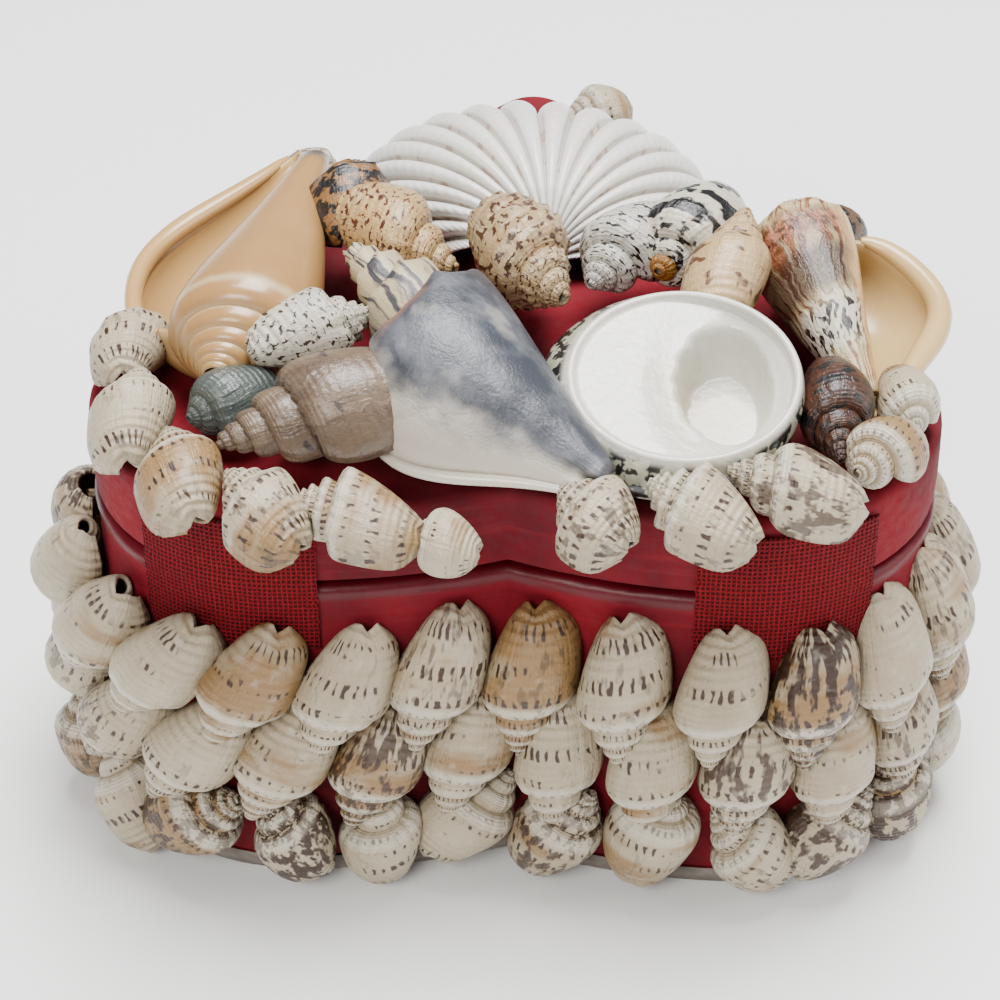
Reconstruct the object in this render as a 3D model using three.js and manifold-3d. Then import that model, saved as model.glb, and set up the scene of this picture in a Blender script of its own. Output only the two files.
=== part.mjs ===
// Heart-shaped keepsake box of paper board covered in red cloth, with sea shells glued all round its
// wall and over its lid. Millimetres, +Z up. The origin is on the underside, midway between the front
// of the lobes and the tip of the heart. The lobes, where the cloth hinge is, face -Y; the tip faces +Y.
import * as THREE from 'three';
import { mergeVertices } from 'three/addons/utils/BufferGeometryUtils.js';
import Module from 'manifold-3d';

const wasm = await Module();
wasm.setup();

// ---------------------------------------------------------------- driving dimensions
const HEART = { lobeX: 27, lobeR: 23, frontY: -47, cleftRise: 4.9, flankR: 300, tipY: 47, tipR: 5 };
const BOARD = 2.4; // thickness of the covered paper board
const SEAM_Z = 45; // top edge of the box wall
const SEAM_GAP = 0.4; // cloth pile between the wall and the lid
const LID_TOP = 56;
const LID_Z = SEAM_Z + SEAM_GAP;
const GLUE = 1.1; // room for the hinge cloth between the wall and its shells
const GLUE_BED = 1.8; // thickness of the glue that holds one patch of wall shells together
const FIT = 0.35; // gap left between shells that touch
const SHELL_WAY = 3.2; // middle of a wall shell, out from the wall
const SHELL_SNUG = { all: 0.4, right: 1.0 }; // less than that: everywhere, and more so on the right
const WALL_ROWS = [
  { name: 'upper', z: 31.4, length: 20.0, width: 11.2, depth: 9.6, phase: 0.2, lean: 15, sides: 5 },
  { name: 'middle', z: 19.8, length: 19.4, width: 11.0, depth: 9.2, phase: 0.53, lean: 13, sides: 4 },
  { name: 'lower', z: 9.6, length: 15.6, width: 10.8, depth: 8.8, phase: 0.68, lean: 0, sides: 4 },
];
const ROW_COUNT = 29; // shells in each row
const SECTORS = 7; // the wall shells are glued in seven patches
const HINGE = { reach: 9, width: 21, middle: 32.5, thick: 0.5, gap: 0.3 }; // middle: way from the cleft

// ---------------------------------------------------------------- small helpers
const rad = THREE.MathUtils.degToRad;
const wave = (i, k) => Math.sin(i * k + k * k); // a small, repeatable variation from piece to piece

function toSolid(geometry) {
  const bare = geometry.index ? geometry.toNonIndexed() : geometry.clone();
  bare.deleteAttribute('normal');
  bare.deleteAttribute('uv');
  const merged = mergeVertices(bare, 1e-4);
  return new wasm.Manifold(new wasm.Mesh({
    numProp: 3,
    vertProperties: merged.attributes.position.array,
    triVerts: merged.index.array,
  }));
}

function toGeometry(solid) {
  const mesh = solid.getMesh();
  const geometry = new THREE.BufferGeometry();
  geometry.setAttribute('position', new THREE.BufferAttribute(new Float32Array(mesh.vertProperties), 3));
  geometry.setIndex(new THREE.BufferAttribute(new Uint32Array(mesh.triVerts), 1));
  geometry.computeVertexNormals();
  return geometry;
}

// The largest of the bodies that a cut has left.
function largest(solid) {
  const bodies = solid.decompose();
  return bodies.reduce((best, body) => (body.volume() > best.volume() ? body : best));
}

// ---------------------------------------------------------------- the heart outline
// Half of it is four arcs: the shallow front of a lobe, its outer side, the flank, and the tip. An
// offset outline has the same centres, and radii that are larger by the offset.
function heartArcs(offset) {
  const { lobeX, lobeR, frontY, cleftRise, flankR, tipY, tipR } = HEART;
  const frontR = (lobeX ** 2 + cleftRise ** 2) / (2 * cleftRise);
  const front = new THREE.Vector2(lobeX, frontY + frontR);
  const lobe = new THREE.Vector2(lobeX, frontY + lobeR);
  const tip = new THREE.Vector2(0, tipY - tipR);
  const span = tip.clone().sub(lobe);
  const [toLobe, toTip] = [flankR - lobeR, flankR - tipR];
  const along = (span.lengthSq() + toLobe ** 2 - toTip ** 2) / (2 * span.length());
  const side = Math.sqrt(toLobe ** 2 - along ** 2);
  const unit = span.clone().normalize();
  const flank = lobe.clone().addScaledVector(unit, along)
    .addScaledVector(new THREE.Vector2(-unit.y, unit.x), side);
  const joinLobe = Math.atan2(lobe.y - flank.y, lobe.x - flank.x);
  const joinTip = Math.atan2(tip.y - flank.y, tip.x - flank.x);
  const cleft = -Math.PI / 2 - Math.asin(lobeX / (frontR + offset));
  return [
    { centre: front, radius: frontR + offset, from: cleft, to: -Math.PI / 2, steps: 3 },
    { centre: lobe, radius: lobeR + offset, from: -Math.PI / 2, to: joinLobe, steps: 7 },
    { centre: flank, radius: flankR + offset, from: joinLobe, to: joinTip, steps: 4 },
    { centre: tip, radius: tipR + offset, from: joinTip, to: Math.PI / 2, steps: 3 },
  ];
}

function heartPoints(offset, finer = 1) {
  const half = [];
  for (const { centre, radius, from, to, steps } of heartArcs(offset)) {
    for (let i = half.length ? 1 : 0; i <= steps * finer; i++) {
      const angle = from + ((to - from) * i) / (steps * finer);
      half.push(new THREE.Vector2(centre.x + radius * Math.cos(angle), centre.y + radius * Math.sin(angle)));
    }
  }
  const mirrored = half.slice(1, -1).reverse().map((p) => new THREE.Vector2(-p.x, p.y));
  return [...half, ...mirrored];
}

// A spot on the outline, by its share of the way round from the cleft, anticlockwise seen from above.
function heartLengths(points) {
  const lengths = [0];
  for (let i = 1; i < points.length; i++) lengths.push(lengths[i - 1] + points[i].distanceTo(points[i - 1]));
  return lengths;
}

function heartLength(offset) {
  const points = heartPoints(offset, 8);
  return heartLengths([...points, points[0]]).at(-1);
}

function heartWalk(offset) {
  const points = heartPoints(offset, 8);
  points.push(points[0].clone());
  const lengths = heartLengths(points);
  const total = lengths.at(-1);
  return (share) => {
    const goal = (((share % 1) + 1) % 1) * total;
    const i = Math.max(1, lengths.findIndex((length) => length >= goal));
    const along = (goal - lengths[i - 1]) / (lengths[i] - lengths[i - 1]);
    const tangent = points[i].clone().sub(points[i - 1]).normalize();
    return {
      point: points[i - 1].clone().lerp(points[i], along),
      tangent,
      outward: new THREE.Vector2(tangent.y, -tangent.x),
    };
  };
}

function heartSlab(offset, zLow, zHigh, holeOffset = null) {
  const shape = new THREE.Shape(heartPoints(offset));
  if (holeOffset !== null) shape.holes.push(new THREE.Path(heartPoints(holeOffset).reverse()));
  const geometry = new THREE.ExtrudeGeometry(shape, { depth: zHigh - zLow, bevelEnabled: false });
  return geometry.translate(0, 0, zLow);
}

// ---------------------------------------------------------------- shell bodies
// Every coiled shell lies along its own +Z, from the tip of its spire to the notch at its mouth, with
// its back towards +Y. A profile is pairs of height, from 0 at the spire's tip to 1, and half width.
const PROFILES = {
  dove: [[0.30, 0.68], [0.58, 1.0], [0.97, 0.38]],
  knobbed: [[0.14, 0.36], [0.34, 0.80], [0.60, 1.0], [0.97, 0.36]],
  conch: [[0.09, 0.28], [0.20, 0.62], [0.30, 1.0], [0.46, 0.96], [0.72, 0.64], [0.98, 0.24]],
  whelk: [[0.12, 0.26], [0.26, 0.52], [0.40, 0.84], [0.58, 1.0], [0.80, 0.88], [0.97, 0.46]],
  round: [[0.08, 0.50], [0.28, 0.88], [0.55, 1.0], [0.82, 0.78], [0.98, 0.36]],
};

function coiledShell({ profile = 'dove', length, width, depth, sides = 6, grow = 0, flare = 0 }) {
  const long = length + 2 * grow;
  const outline = [new THREE.Vector2(0, -long / 2)];
  for (const [height, half] of PROFILES[profile]) {
    outline.push(new THREE.Vector2(half, (height - 0.5) * long));
  }
  outline.push(new THREE.Vector2(0, long / 2));
  const geometry = new THREE.LatheGeometry(outline, sides);
  geometry.rotateX(Math.PI / 2); // the lathe's +Y becomes +Z
  geometry.rotateZ(-Math.PI / 2 + Math.PI / sides); // a flat side at the back of the mouth
  const spot = geometry.attributes.position;
  for (let i = 0; i < spot.count; i++) {
    const side = spot.getX(i);
    const lip = side < 0 ? 1 - flare * side : 1; // the outer lip stands out on -X
    spot.setXY(i, side * lip * (width / 2 + grow), spot.getY(i) * (depth / 2 + grow));
  }
  return geometry;
}

// Places a shell so that its mouth end points along `axis` and its back faces as near `back` as it can.
function place(geometry, at, axis, back) {
  const z = axis.clone().normalize();
  const x = back.clone().cross(z).normalize();
  const y = z.clone().cross(x);
  const matrix = new THREE.Matrix4().makeBasis(x, y, z).setPosition(at);
  return geometry.clone().applyMatrix4(matrix);
}

// ---------------------------------------------------------------- shells on the wall
// How far a wall shell is turned from mouth end up. The lowest ones have their spires up, and those on
// the left half slant.
function wallTurn(row, share) {
  if (row.name === 'lower') return 180 + 48 * wave(share * ROW_COUNT, 2.3);
  const { smoothstep } = THREE.MathUtils;
  const slant = smoothstep(share, 0.5, 0.72) * (1 - 0.6 * smoothstep(share, 0.92, 1));
  return 27 * slant + 5 * wave(share * ROW_COUNT, 1.7);
}

function wallShells() {
  const shells = [];
  for (const row of WALL_ROWS) {
    const walk = heartWalk(SHELL_WAY);
    for (let i = 0; i < ROW_COUNT; i++) {
      const share = (i + row.phase) / ROW_COUNT;
      const { point, tangent, outward } = walk(share);
      point.addScaledVector(outward, -SHELL_SNUG.all - SHELL_SNUG.right * outward.x);
      const size = 1 + 0.05 * wave(i, 1.3);
      const turn = rad(wallTurn(row, share));
      const lean = rad(row.lean);
      const out = new THREE.Vector3(outward.x, outward.y, 0);
      const sideways = new THREE.Vector3(tangent.x, tangent.y, 0);
      const upright = new THREE.Vector3(0, 0, 1).multiplyScalar(Math.cos(turn))
        .addScaledVector(sideways, Math.sin(turn));
      const axis = upright.multiplyScalar(Math.cos(lean)).addScaledVector(out, -Math.sin(lean));
      const at = new THREE.Vector3(point.x, point.y, row.z + 0.6 * wave(i, 2.1));
      const { width, depth, sides } = row;
      const body = coiledShell({ length: row.length * size, width, depth, sides });
      shells.push({ share, solid: toSolid(place(body, at, axis, out)) });
    }
  }
  return shells;
}

// The part of the space around the box that one patch of wall shells may fill.
function sectorWedge(index) {
  const walk = heartWalk(0);
  const shape = new THREE.Shape();
  const [from, to] = [index / SECTORS, (index + 1) / SECTORS];
  const inner = [];
  const outer = [];
  const steps = 8;
  for (let i = 0; i <= steps; i++) {
    const share = THREE.MathUtils.lerp(from, to, i / steps);
    const { point, tangent, outward } = walk(Math.min(Math.max(share, 1e-6), 1 - 1e-6));
    if (share < 1e-6 || share > 1 - 1e-6) {
      tangent.set(1, 0); // the cleft's own middle line
      outward.set(0, -1);
    }
    const inset = i === 0 ? FIT / 2 : i === steps ? -FIT / 2 : 0;
    const edge = point.clone().addScaledVector(tangent, inset);
    inner.push(edge.clone().addScaledVector(outward, -2));
    outer.push(edge.clone().addScaledVector(outward, 16));
  }
  shape.setFromPoints([...outer, ...inner.reverse()]);
  return toSolid(new THREE.ExtrudeGeometry(shape, { depth: 60, bevelEnabled: false }).translate(0, 0, -2));
}

function wallPatches() {
  const shells = wallShells();
  const core = toSolid(heartSlab(GLUE, -5, 60));
  const glueBed = toSolid(heartSlab(GLUE + GLUE_BED, 6, 39));
  const patches = [];
  for (let index = 0; index < SECTORS; index++) {
    const joined = wasm.Manifold.union([glueBed, ...shells.map(({ solid }) => solid)]);
    patches.push(largest(joined.intersect(sectorWedge(index)).subtract(core)));
  }
  return patches;
}

// ---------------------------------------------------------------- lid, hinge cloth
function lidTray() {
  const outside = toSolid(heartSlab(0, LID_Z, LID_TOP));
  const inside = toSolid(heartSlab(-BOARD, LID_Z - 1, LID_TOP - BOARD));
  return outside.subtract(inside);
}

// A strip of woven cloth glued over the seam on one lobe; `side` is 1 on the right, -1 on the left.
function hingeTape(side) {
  const walk = heartWalk(0);
  const total = heartLength(0);
  const inner = [];
  const outer = [];
  const steps = 6;
  for (let i = 0; i <= steps; i++) {
    const arc = HINGE.middle + (i / steps - 0.5) * HINGE.width;
    const { point, outward } = walk(arc / total);
    inner.push(point.clone().addScaledVector(outward, HINGE.gap));
    outer.push(point.clone().addScaledVector(outward, HINGE.gap + HINGE.thick));
  }
  const outline = [...outer, ...inner.reverse()].map((p) => new THREE.Vector2(side * p.x, p.y));
  if (side < 0) outline.reverse();
  const shape = new THREE.Shape(outline);
  const geometry = new THREE.ExtrudeGeometry(shape, { depth: 2 * HINGE.reach, bevelEnabled: false });
  return geometry.translate(0, 0, SEAM_Z + SEAM_GAP / 2 - HINGE.reach);
}

// ---------------------------------------------------------------- shells on the lid
// Each has the tip of its spire, its mouth end, its width and depth, and the way its back faces.
const UP = [0, 0, 1];
const LID_SHELLS = [
  { name: 'conch_tan', profile: 'conch', tip: [-34, -34.5, 64], mouth: [-26.5, 11.5, 66.5], width: 19,
    depth: 16, flare: 0.6, back: [0.42, 0, -0.9], sides: 8 },
  { name: 'conch_grey', profile: 'conch', tip: [-21.5, -11.5, 69.5], mouth: [11, -47.5, 62], width: 17.6,
    depth: 15.5, flare: 0.6, back: UP, sides: 8 },
  { name: 'conch_netted', profile: 'conch', tip: [32, 2, 67.5], mouth: [41, -32, 61.5], width: 15,
    depth: 13.5, flare: 0.8, back: [-0.55, 0.45, -0.7], sides: 8 },
  { name: 'nerite', kind: 'nerite', at: [17.8, -34, 66.5], width: 30, depth: 28, height: 11 },
  { name: 'cockle', kind: 'cockle', at: [0.5, 15.5, 57], width: 47, depth: 33, height: 13 },
  { name: 'whelk_grey', profile: 'whelk', tip: [-33.5, -43.5, 62], mouth: [-9.5, -34, 65.5], width: 14,
    depth: 12, back: UP, sides: 8 },
  { name: 'whelk_brown', profile: 'whelk', tip: [37, -42, 60.6], mouth: [35.5, -26, 62.5], width: 9,
    depth: 9, back: UP },
  { name: 'dove_blue', profile: 'round', tip: [-36.5, -38, 61.5], mouth: [-27, -30, 61.5], width: 8,
    depth: 8, back: UP },
  { name: 'dove_dotted', profile: 'knobbed', tip: [-16, -23, 67], mouth: [-29.5, -31.5, 65.5], width: 10,
    depth: 9, back: UP },
  { name: 'dove_dark', profile: 'knobbed', tip: [-21.5, 7, 69], mouth: [-19.5, -7, 66], width: 10,
    depth: 9, back: UP },
  { name: 'dove_freckled', profile: 'knobbed', tip: [-6.5, -12, 65], mouth: [-23, -3.5, 67.5],
    width: 12, depth: 11, back: UP },
  { name: 'nodular_tan', profile: 'knobbed', tip: [6.4, -19, 65.5], mouth: [-5.8, -3.5, 67.5], width: 13,
    depth: 12, back: UP },
  { name: 'dove_black_dots', profile: 'dove', tip: [8, -12.5, 63.5], mouth: [15.8, 0.5, 65.5], width: 11,
    depth: 10, back: UP },
  { name: 'dove_zebra', profile: 'knobbed', tip: [16.2, -11.2, 65], mouth: [24, 4.5, 66.5], width: 12,
    depth: 11, back: UP },
  { name: 'dove_spotted', profile: 'knobbed', tip: [27, -5, 71.5], mouth: [23.4, -23.5, 64.5], width: 10,
    depth: 9, back: UP },
  { name: 'dove_behind', profile: 'dove', tip: [39.5, 6, 62], mouth: [37, -5, 64], width: 9, depth: 8,
    back: UP },
];
// Shells along the edge of the lid: from the middle of the front out to the left, then to the right,
// and two at the back.
const RIM_SHELLS = [
  { tip: [-9.8, -53, 58.6], mouth: [-2.2, -55.8, 57.8], width: 7.5, depth: 6.5 },
  { tip: [-23.4, -51.0, 61.4], mouth: [-8.8, -54.6, 58.8], width: 10.5, depth: 9 },
  { tip: [-31.2, -46.4, 61.4], mouth: [-21.2, -56.6, 58.2], width: 10.5, depth: 9 },
  { tip: [-38.6, -38.4, 61.2], mouth: [-32.8, -52.8, 58.4], width: 10.5, depth: 9 },
  { tip: [-43, -27.6, 61.8], mouth: [-41.6, -43.6, 58.8], width: 10, depth: 9 },
  { tip: [-44.4, -14.4, 60.2], mouth: [-44.2, -29, 60.4], width: 9.5, depth: 8.5 },
  { tip: [5.6, -47.4, 61.2], mouth: [14, -55, 58.6], width: 11, depth: 9 },
  { tip: [15, -46.8, 61.8], mouth: [27.4, -54, 58.6], width: 11, depth: 9 },
  { tip: [23.4, -45, 62.2], mouth: [39, -48.6, 59.8], width: 10.5, depth: 9 },
  { tip: [38, -45, 61.4], mouth: [44, -35.6, 60.2], width: 8.6, depth: 8 },
  { tip: [45.8, -34.5, 60], mouth: [43, -24.5, 60.4], width: 7.8, depth: 7.5 },
  { tip: [4.2, 35.2, 59.4], mouth: [12.4, 39.4, 58.4], width: 7.6, depth: 6.8 },
  { tip: [-22.5, 14.5, 60.0], mouth: [-31.5, 19.2, 59.0], width: 8.4, depth: 7.4 },
];

const vector = (list) => new THREE.Vector3(...list);

function placedShell(spec, grow = 0) {
  const [tip, mouth] = [vector(spec.tip), vector(spec.mouth)];
  const axis = mouth.clone().sub(tip);
  const body = coiledShell({ ...spec, length: axis.length(), grow });
  return toSolid(place(body, tip.add(mouth).multiplyScalar(0.5), axis, vector(spec.back ?? UP)));
}

// A thick dome lying on its back, with a flat deck on the left and a deep mouth on the right.
function nerite({ at, width, depth, height }, grow = 0) {
  const dome = new THREE.SphereGeometry(1, 16, 8);
  dome.rotateX(Math.PI / 2);
  const lower = toSolid(dome.scale(width / 2 + grow, depth / 2 + grow, height + grow));
  const rim = new THREE.BoxGeometry(60, 60, 30).translate(0, 0, 15 + grow);
  const mouth = new THREE.SphereGeometry(1, 14, 8).rotateX(Math.PI / 2);
  mouth.scale(8.2, 10.2, 8).translate(4.6, 0.4, 1);
  let solid = lower.subtract(toSolid(rim));
  if (!grow) solid = solid.subtract(toSolid(mouth));
  return solid.rotate([16, 0, 0]).translate(at);
}

// One valve lying with its ribbed side up: a thin dome, open below.
function cockle({ at, width, depth, height }, grow = 0) {
  const ribs = 18;
  const wall = 1.8;
  const cap = (inset) => {
    const rings = [0.0, 0.55, 1.0];
    const positions = [];
    const index = [];
    const around = 36;
    for (const ring of rings) {
      for (let i = 0; i < around; i++) {
        const angle = (2 * Math.PI * i) / around;
        const slope = (ring * Math.PI) / 2;
        const scale = 1 + (i % 2 ? -0.03 : 0.03) * ring * (inset ? 0 : 1);
        positions.push(
          Math.sin(angle) * Math.sin(slope) * (width / 2 + grow - inset) * scale,
          -Math.cos(angle) * Math.sin(slope) * (depth / 2 + grow - inset) * scale,
          Math.cos(slope) * (height + grow - inset),
        );
      }
    }
    for (let r = 0; r + 1 < rings.length; r++) {
      for (let i = 0; i < around; i++) {
        const [a, b] = [r * around + i, r * around + ((i + 1) % around)];
        index.push(a, a + around, b, b, a + around, b + around);
      }
    }
    const last = (rings.length - 1) * around;
    for (let i = 1; i + 1 < around; i++) index.push(last, last + i + 1, last + i);
    const geometry = new THREE.BufferGeometry();
    geometry.setAttribute('position', new THREE.Float32BufferAttribute(positions, 3));
    geometry.setIndex(index);
    return geometry;
  };
  let solid = toSolid(cap(0));
  if (!grow) solid = solid.subtract(toSolid(cap(wall).translate(0, 0, -0.01)));
  return solid.translate(at);
}

function rimRing() {
  return RIM_SHELLS.map((spec, i) => {
    return { profile: 'dove', sides: 6, name: `rim_shell_${String(i + 1).padStart(2, '0')}`, ...spec };
  });
}

function buildLidShell(spec, grow) {
  if (spec.kind === 'nerite') return nerite(spec, grow);
  if (spec.kind === 'cockle') return cockle(spec, grow);
  return placedShell(spec, grow);
}

// The shells are laid one after another; each gives way to those already there.
function lidShells() {
  const below = toSolid(new THREE.BoxGeometry(160, 160, 60).translate(0, 0, LID_TOP + FIT - 30));
  const edge = below.intersect(toSolid(heartSlab(FIT, LID_Z - 2, LID_TOP + 2)));
  const taken = [];
  return [...LID_SHELLS, ...rimRing()].map((spec) => {
    const own = buildLidShell(spec, 0);
    const near = taken.filter(({ box }) => overlaps(box, own.boundingBox()));
    let solid = own.subtract(edge);
    for (const { grown } of near) solid = solid.subtract(grown);
    const grown = buildLidShell(spec, FIT);
    taken.push({ grown, box: grown.boundingBox() });
    return { name: spec.name, solid: largest(solid) };
  });
}

function overlaps(a, b) {
  return [0, 1, 2].every((k) => a.min[k] < b.max[k] && b.min[k] < a.max[k]);
}

// ---------------------------------------------------------------- main
const group = new THREE.Group();
const finishes = {
  redCloth: new THREE.MeshStandardMaterial({ color: 0xa3101f, roughness: 0.9 }),
  greyBoard: new THREE.MeshStandardMaterial({ color: 0x6f6862, roughness: 0.95 }),
  smallShell: new THREE.MeshStandardMaterial({ color: 0xddd3c0, roughness: 0.45 }),
  tanShell: new THREE.MeshStandardMaterial({ color: 0xd2a878, roughness: 0.35 }),
  greyShell: new THREE.MeshStandardMaterial({ color: 0x8c8a92, roughness: 0.4 }),
  whiteShell: new THREE.MeshStandardMaterial({ color: 0xf0ece2, roughness: 0.4 }),
  brownShell: new THREE.MeshStandardMaterial({ color: 0x6b4f40, roughness: 0.45 }),
};
const LOOKS = {
  conch_tan: finishes.tanShell,
  conch_grey: finishes.greyShell,
  conch_netted: finishes.tanShell,
  nerite: finishes.whiteShell,
  cockle: finishes.whiteShell,
  whelk_grey: finishes.brownShell,
  whelk_brown: finishes.brownShell,
  dove_blue: finishes.greyShell,
  dove_dark: finishes.brownShell,
};

function add(name, geometry, material) {
  const mesh = new THREE.Mesh(geometry, material.clone());
  mesh.name = name;
  group.add(mesh);
}

add('base_board', heartSlab(0.4, 0, BOARD), finishes.greyBoard);
add('box_wall', heartSlab(0, BOARD, SEAM_Z, -BOARD), finishes.redCloth);
wallPatches().forEach((solid, i) => {
  add(`wall_shells_${String(i + 1).padStart(2, '0')}`, toGeometry(solid), finishes.smallShell);
});
add('hinge_tape_right', hingeTape(1), finishes.redCloth);
add('hinge_tape_left', hingeTape(-1), finishes.redCloth);
add('lid', toGeometry(lidTray()), finishes.redCloth);
for (const { name, solid } of lidShells()) add(name, toGeometry(solid), LOOKS[name] ?? finishes.smallShell);

export default group;
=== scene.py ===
# %% [markdown]
# # A heart box covered in sea shells
# A small keepsake box of paper board in the shape of a heart. Red cloth covers it, and shells are glued
# all round its wall and over its lid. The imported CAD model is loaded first: it holds the box's true size
# and its hinge. Everything made here is laid over it, in the same frame, in metres.

import math
import random

import bpy
from mathutils import Matrix, Vector, noise


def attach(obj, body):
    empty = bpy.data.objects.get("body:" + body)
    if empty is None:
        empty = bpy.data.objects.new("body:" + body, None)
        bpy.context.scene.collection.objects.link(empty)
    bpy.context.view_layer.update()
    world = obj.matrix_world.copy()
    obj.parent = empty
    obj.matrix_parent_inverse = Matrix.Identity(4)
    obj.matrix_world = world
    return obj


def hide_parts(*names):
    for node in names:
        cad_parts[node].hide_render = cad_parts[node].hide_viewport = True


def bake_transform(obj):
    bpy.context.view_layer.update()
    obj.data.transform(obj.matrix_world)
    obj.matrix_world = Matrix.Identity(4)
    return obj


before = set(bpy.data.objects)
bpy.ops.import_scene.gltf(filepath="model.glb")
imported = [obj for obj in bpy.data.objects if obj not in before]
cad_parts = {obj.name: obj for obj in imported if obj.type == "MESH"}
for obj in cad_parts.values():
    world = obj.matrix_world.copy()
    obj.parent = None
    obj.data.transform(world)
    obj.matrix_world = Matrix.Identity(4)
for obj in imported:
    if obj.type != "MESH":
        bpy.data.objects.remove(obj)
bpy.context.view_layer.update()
MM = 0.001

# %% [markdown]
# ## The camera
# The box is seen from its hinge side, from a little above. A long lens from about a third of a metre away
# keeps the near shells only slightly larger than the far ones.

# %% Camera
CAMERA = {"target": (-1.9, -18.4, 36.0), "turn": 2.5, "rise": 38.0, "distance": 340.0, "lens": 99.27}
turn, rise = math.radians(CAMERA["turn"]), math.radians(CAMERA["rise"])
back = Vector((math.sin(turn) * math.cos(rise), -math.cos(turn) * math.cos(rise), math.sin(rise)))
camera = bpy.data.objects.new("camera", bpy.data.cameras.new("camera"))
bpy.context.scene.collection.objects.link(camera)
camera.location = (Vector(CAMERA["target"]) + back * CAMERA["distance"]) * MM
camera.rotation_euler = back.to_track_quat("Z", "Y").to_euler()
camera.data.lens = CAMERA["lens"]
camera.data.clip_start = 0.01
bpy.context.scene.camera = camera
print("camera at", [round(c / MM, 1) for c in camera.location], "mm")


# %% [markdown]
# ## Small helpers
# An operator works on everything that is selected, so each step starts from an empty selection. The
# other helpers build node materials in few words.

# %% Helpers for objects
def deselect():
    if bpy.context.object and bpy.context.object.mode != "OBJECT":
        bpy.ops.object.mode_set(mode="OBJECT")
    bpy.ops.object.select_all(action="DESELECT")


def pick(obj):
    deselect()
    obj.select_set(True)
    bpy.context.view_layer.objects.active = obj


def apply_modifiers(obj):
    pick(obj)
    for modifier in list(obj.modifiers):
        bpy.ops.object.modifier_apply(modifier=modifier.name)


def delete_faces(obj, unwanted):
    """Deletes the faces for which unwanted(face) is true."""
    pick(obj)
    for part in (obj.data.vertices, obj.data.edges):
        part.foreach_set("select", [False] * len(part))
    for face in obj.data.polygons:
        face.select = unwanted(face)
    bpy.context.tool_settings.mesh_select_mode = (False, False, True)
    bpy.ops.object.mode_set(mode="EDIT")
    bpy.ops.mesh.delete(type="FACE")
    bpy.ops.object.mode_set(mode="OBJECT")
    bpy.context.tool_settings.mesh_select_mode = (True, False, False)


def smooth(low, high, value):
    t = min(max((value - low) / (high - low), 0.0), 1.0)
    return t * t * (3 - 2 * t)


def wave(i, k):
    return math.sin(i * k + k * k)


# %% Helpers for node materials
class Nodes:
    """A short way to write a node tree: each call adds a node and links its inputs."""

    def __init__(self, name):
        self.material = bpy.data.materials.new(name)
        self.material.use_nodes = True
        self.tree = self.material.node_tree
        self.shader = self.tree.nodes["Principled BSDF"]

    def add(self, kind, output=0, settings=None, **inputs):
        node = self.tree.nodes.new("ShaderNode" + kind)
        for key, value in (settings or {}).items():
            setattr(node, key, value)
        for key, value in inputs.items():
            self.feed(node, key, value)
        return node.outputs[output]

    def feed(self, node, key, value):
        place = int(key[1:]) if key[0] == "_" and key[1:].isdigit() else key.replace("_", " ")
        if isinstance(value, bpy.types.NodeSocket):
            self.tree.links.new(value, node.inputs[place])
        else:
            node.inputs[place].default_value = value

    def math(self, operation, a, b=0.0, clamp=False):
        return self.add("Math", settings={"operation": operation, "use_clamp": clamp}, _0=a, _1=b)

    def times(self, a, b):
        return self.math("MULTIPLY", a, b)

    def plus(self, a, b, clamp=False):
        return self.math("ADD", a, b, clamp)

    def minus(self, a, b):
        return self.math("SUBTRACT", a, b)

    def mix(self, amount, a, b):
        """Colour a, and b where the amount is 1. A Mix node's colour inputs are its 7th and 8th."""
        return self.add("Mix", output=2, settings={"data_type": "RGBA"}, _0=amount, _6=a, _7=b)

    def step(self, value, low, high):
        """0 below low, 1 above high, and smooth between them. low may be the larger."""
        settings = {"interpolation_type": "SMOOTHSTEP"}
        return self.add("MapRange", settings=settings, Value=value, From_Min=low, From_Max=high)

    def noise(self, vector, scale, detail=3.0, rough=0.55):
        return self.add("TexNoise", Vector=vector, Scale=scale, Detail=detail, Roughness=rough)

    def join(self, x, y, z=0.0):
        return self.add("CombineXYZ", X=x, Y=y, Z=z)

    def finish(self, **inputs):
        for key, value in inputs.items():
            self.feed(self.shader, key, value)
        return self.material


def colour(red, green, blue):
    return (red, green, blue, 1.0)


# %% [markdown]
# ## Floor and light
# A pale floor and three big soft lamps, one above, one in front and one on the right, give the gentle
# shadows of a table-top studio.

# %% Floor and lamps
deselect()
bpy.ops.mesh.primitive_plane_add(size=6.0, location=(0, 0, 0))
floor = bpy.context.object
floor.name = "floor"
paper = Nodes("pale floor")
floor.data.materials.append(paper.finish(Base_Color=colour(0.88, 0.89, 0.88), Roughness=0.6))

world = bpy.data.worlds.new("studio")
bpy.context.scene.world = world
world.use_nodes = True
world.node_tree.nodes["Background"].inputs["Color"].default_value = colour(0.86, 0.88, 0.92)
world.node_tree.nodes["Background"].inputs["Strength"].default_value = 0.36


def lamp(name, place, size, power, tint=(1.0, 1.0, 1.0)):
    light = bpy.data.lights.new(name, "AREA")
    light.size = size
    light.energy = power
    light.color = tint
    holder = bpy.data.objects.new(name, light)
    bpy.context.scene.collection.objects.link(holder)
    holder.location = place
    aim = Vector(place) - Vector((0, 0, 0.04))
    holder.rotation_euler = aim.to_track_quat("Z", "Y").to_euler()


lamp("top light", (0.05, 0.12, 0.75), 0.42, 15.5)
lamp("front light", (-0.25, -0.65, 0.55), 0.35, 6.5, (1.0, 0.97, 0.92))
lamp("right light", (0.65, -0.1, 0.35), 0.5, 3.0)


# %% [markdown]
# ## The heart outline
# Half of the heart is four arcs: the shallow front of a lobe, its outer side, the long flank and the tip.
# An outline that lies further out has the same centres, and radii that are larger by that distance, so
# one function serves for the cloth, its lining and the line that the shells stand on.

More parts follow.
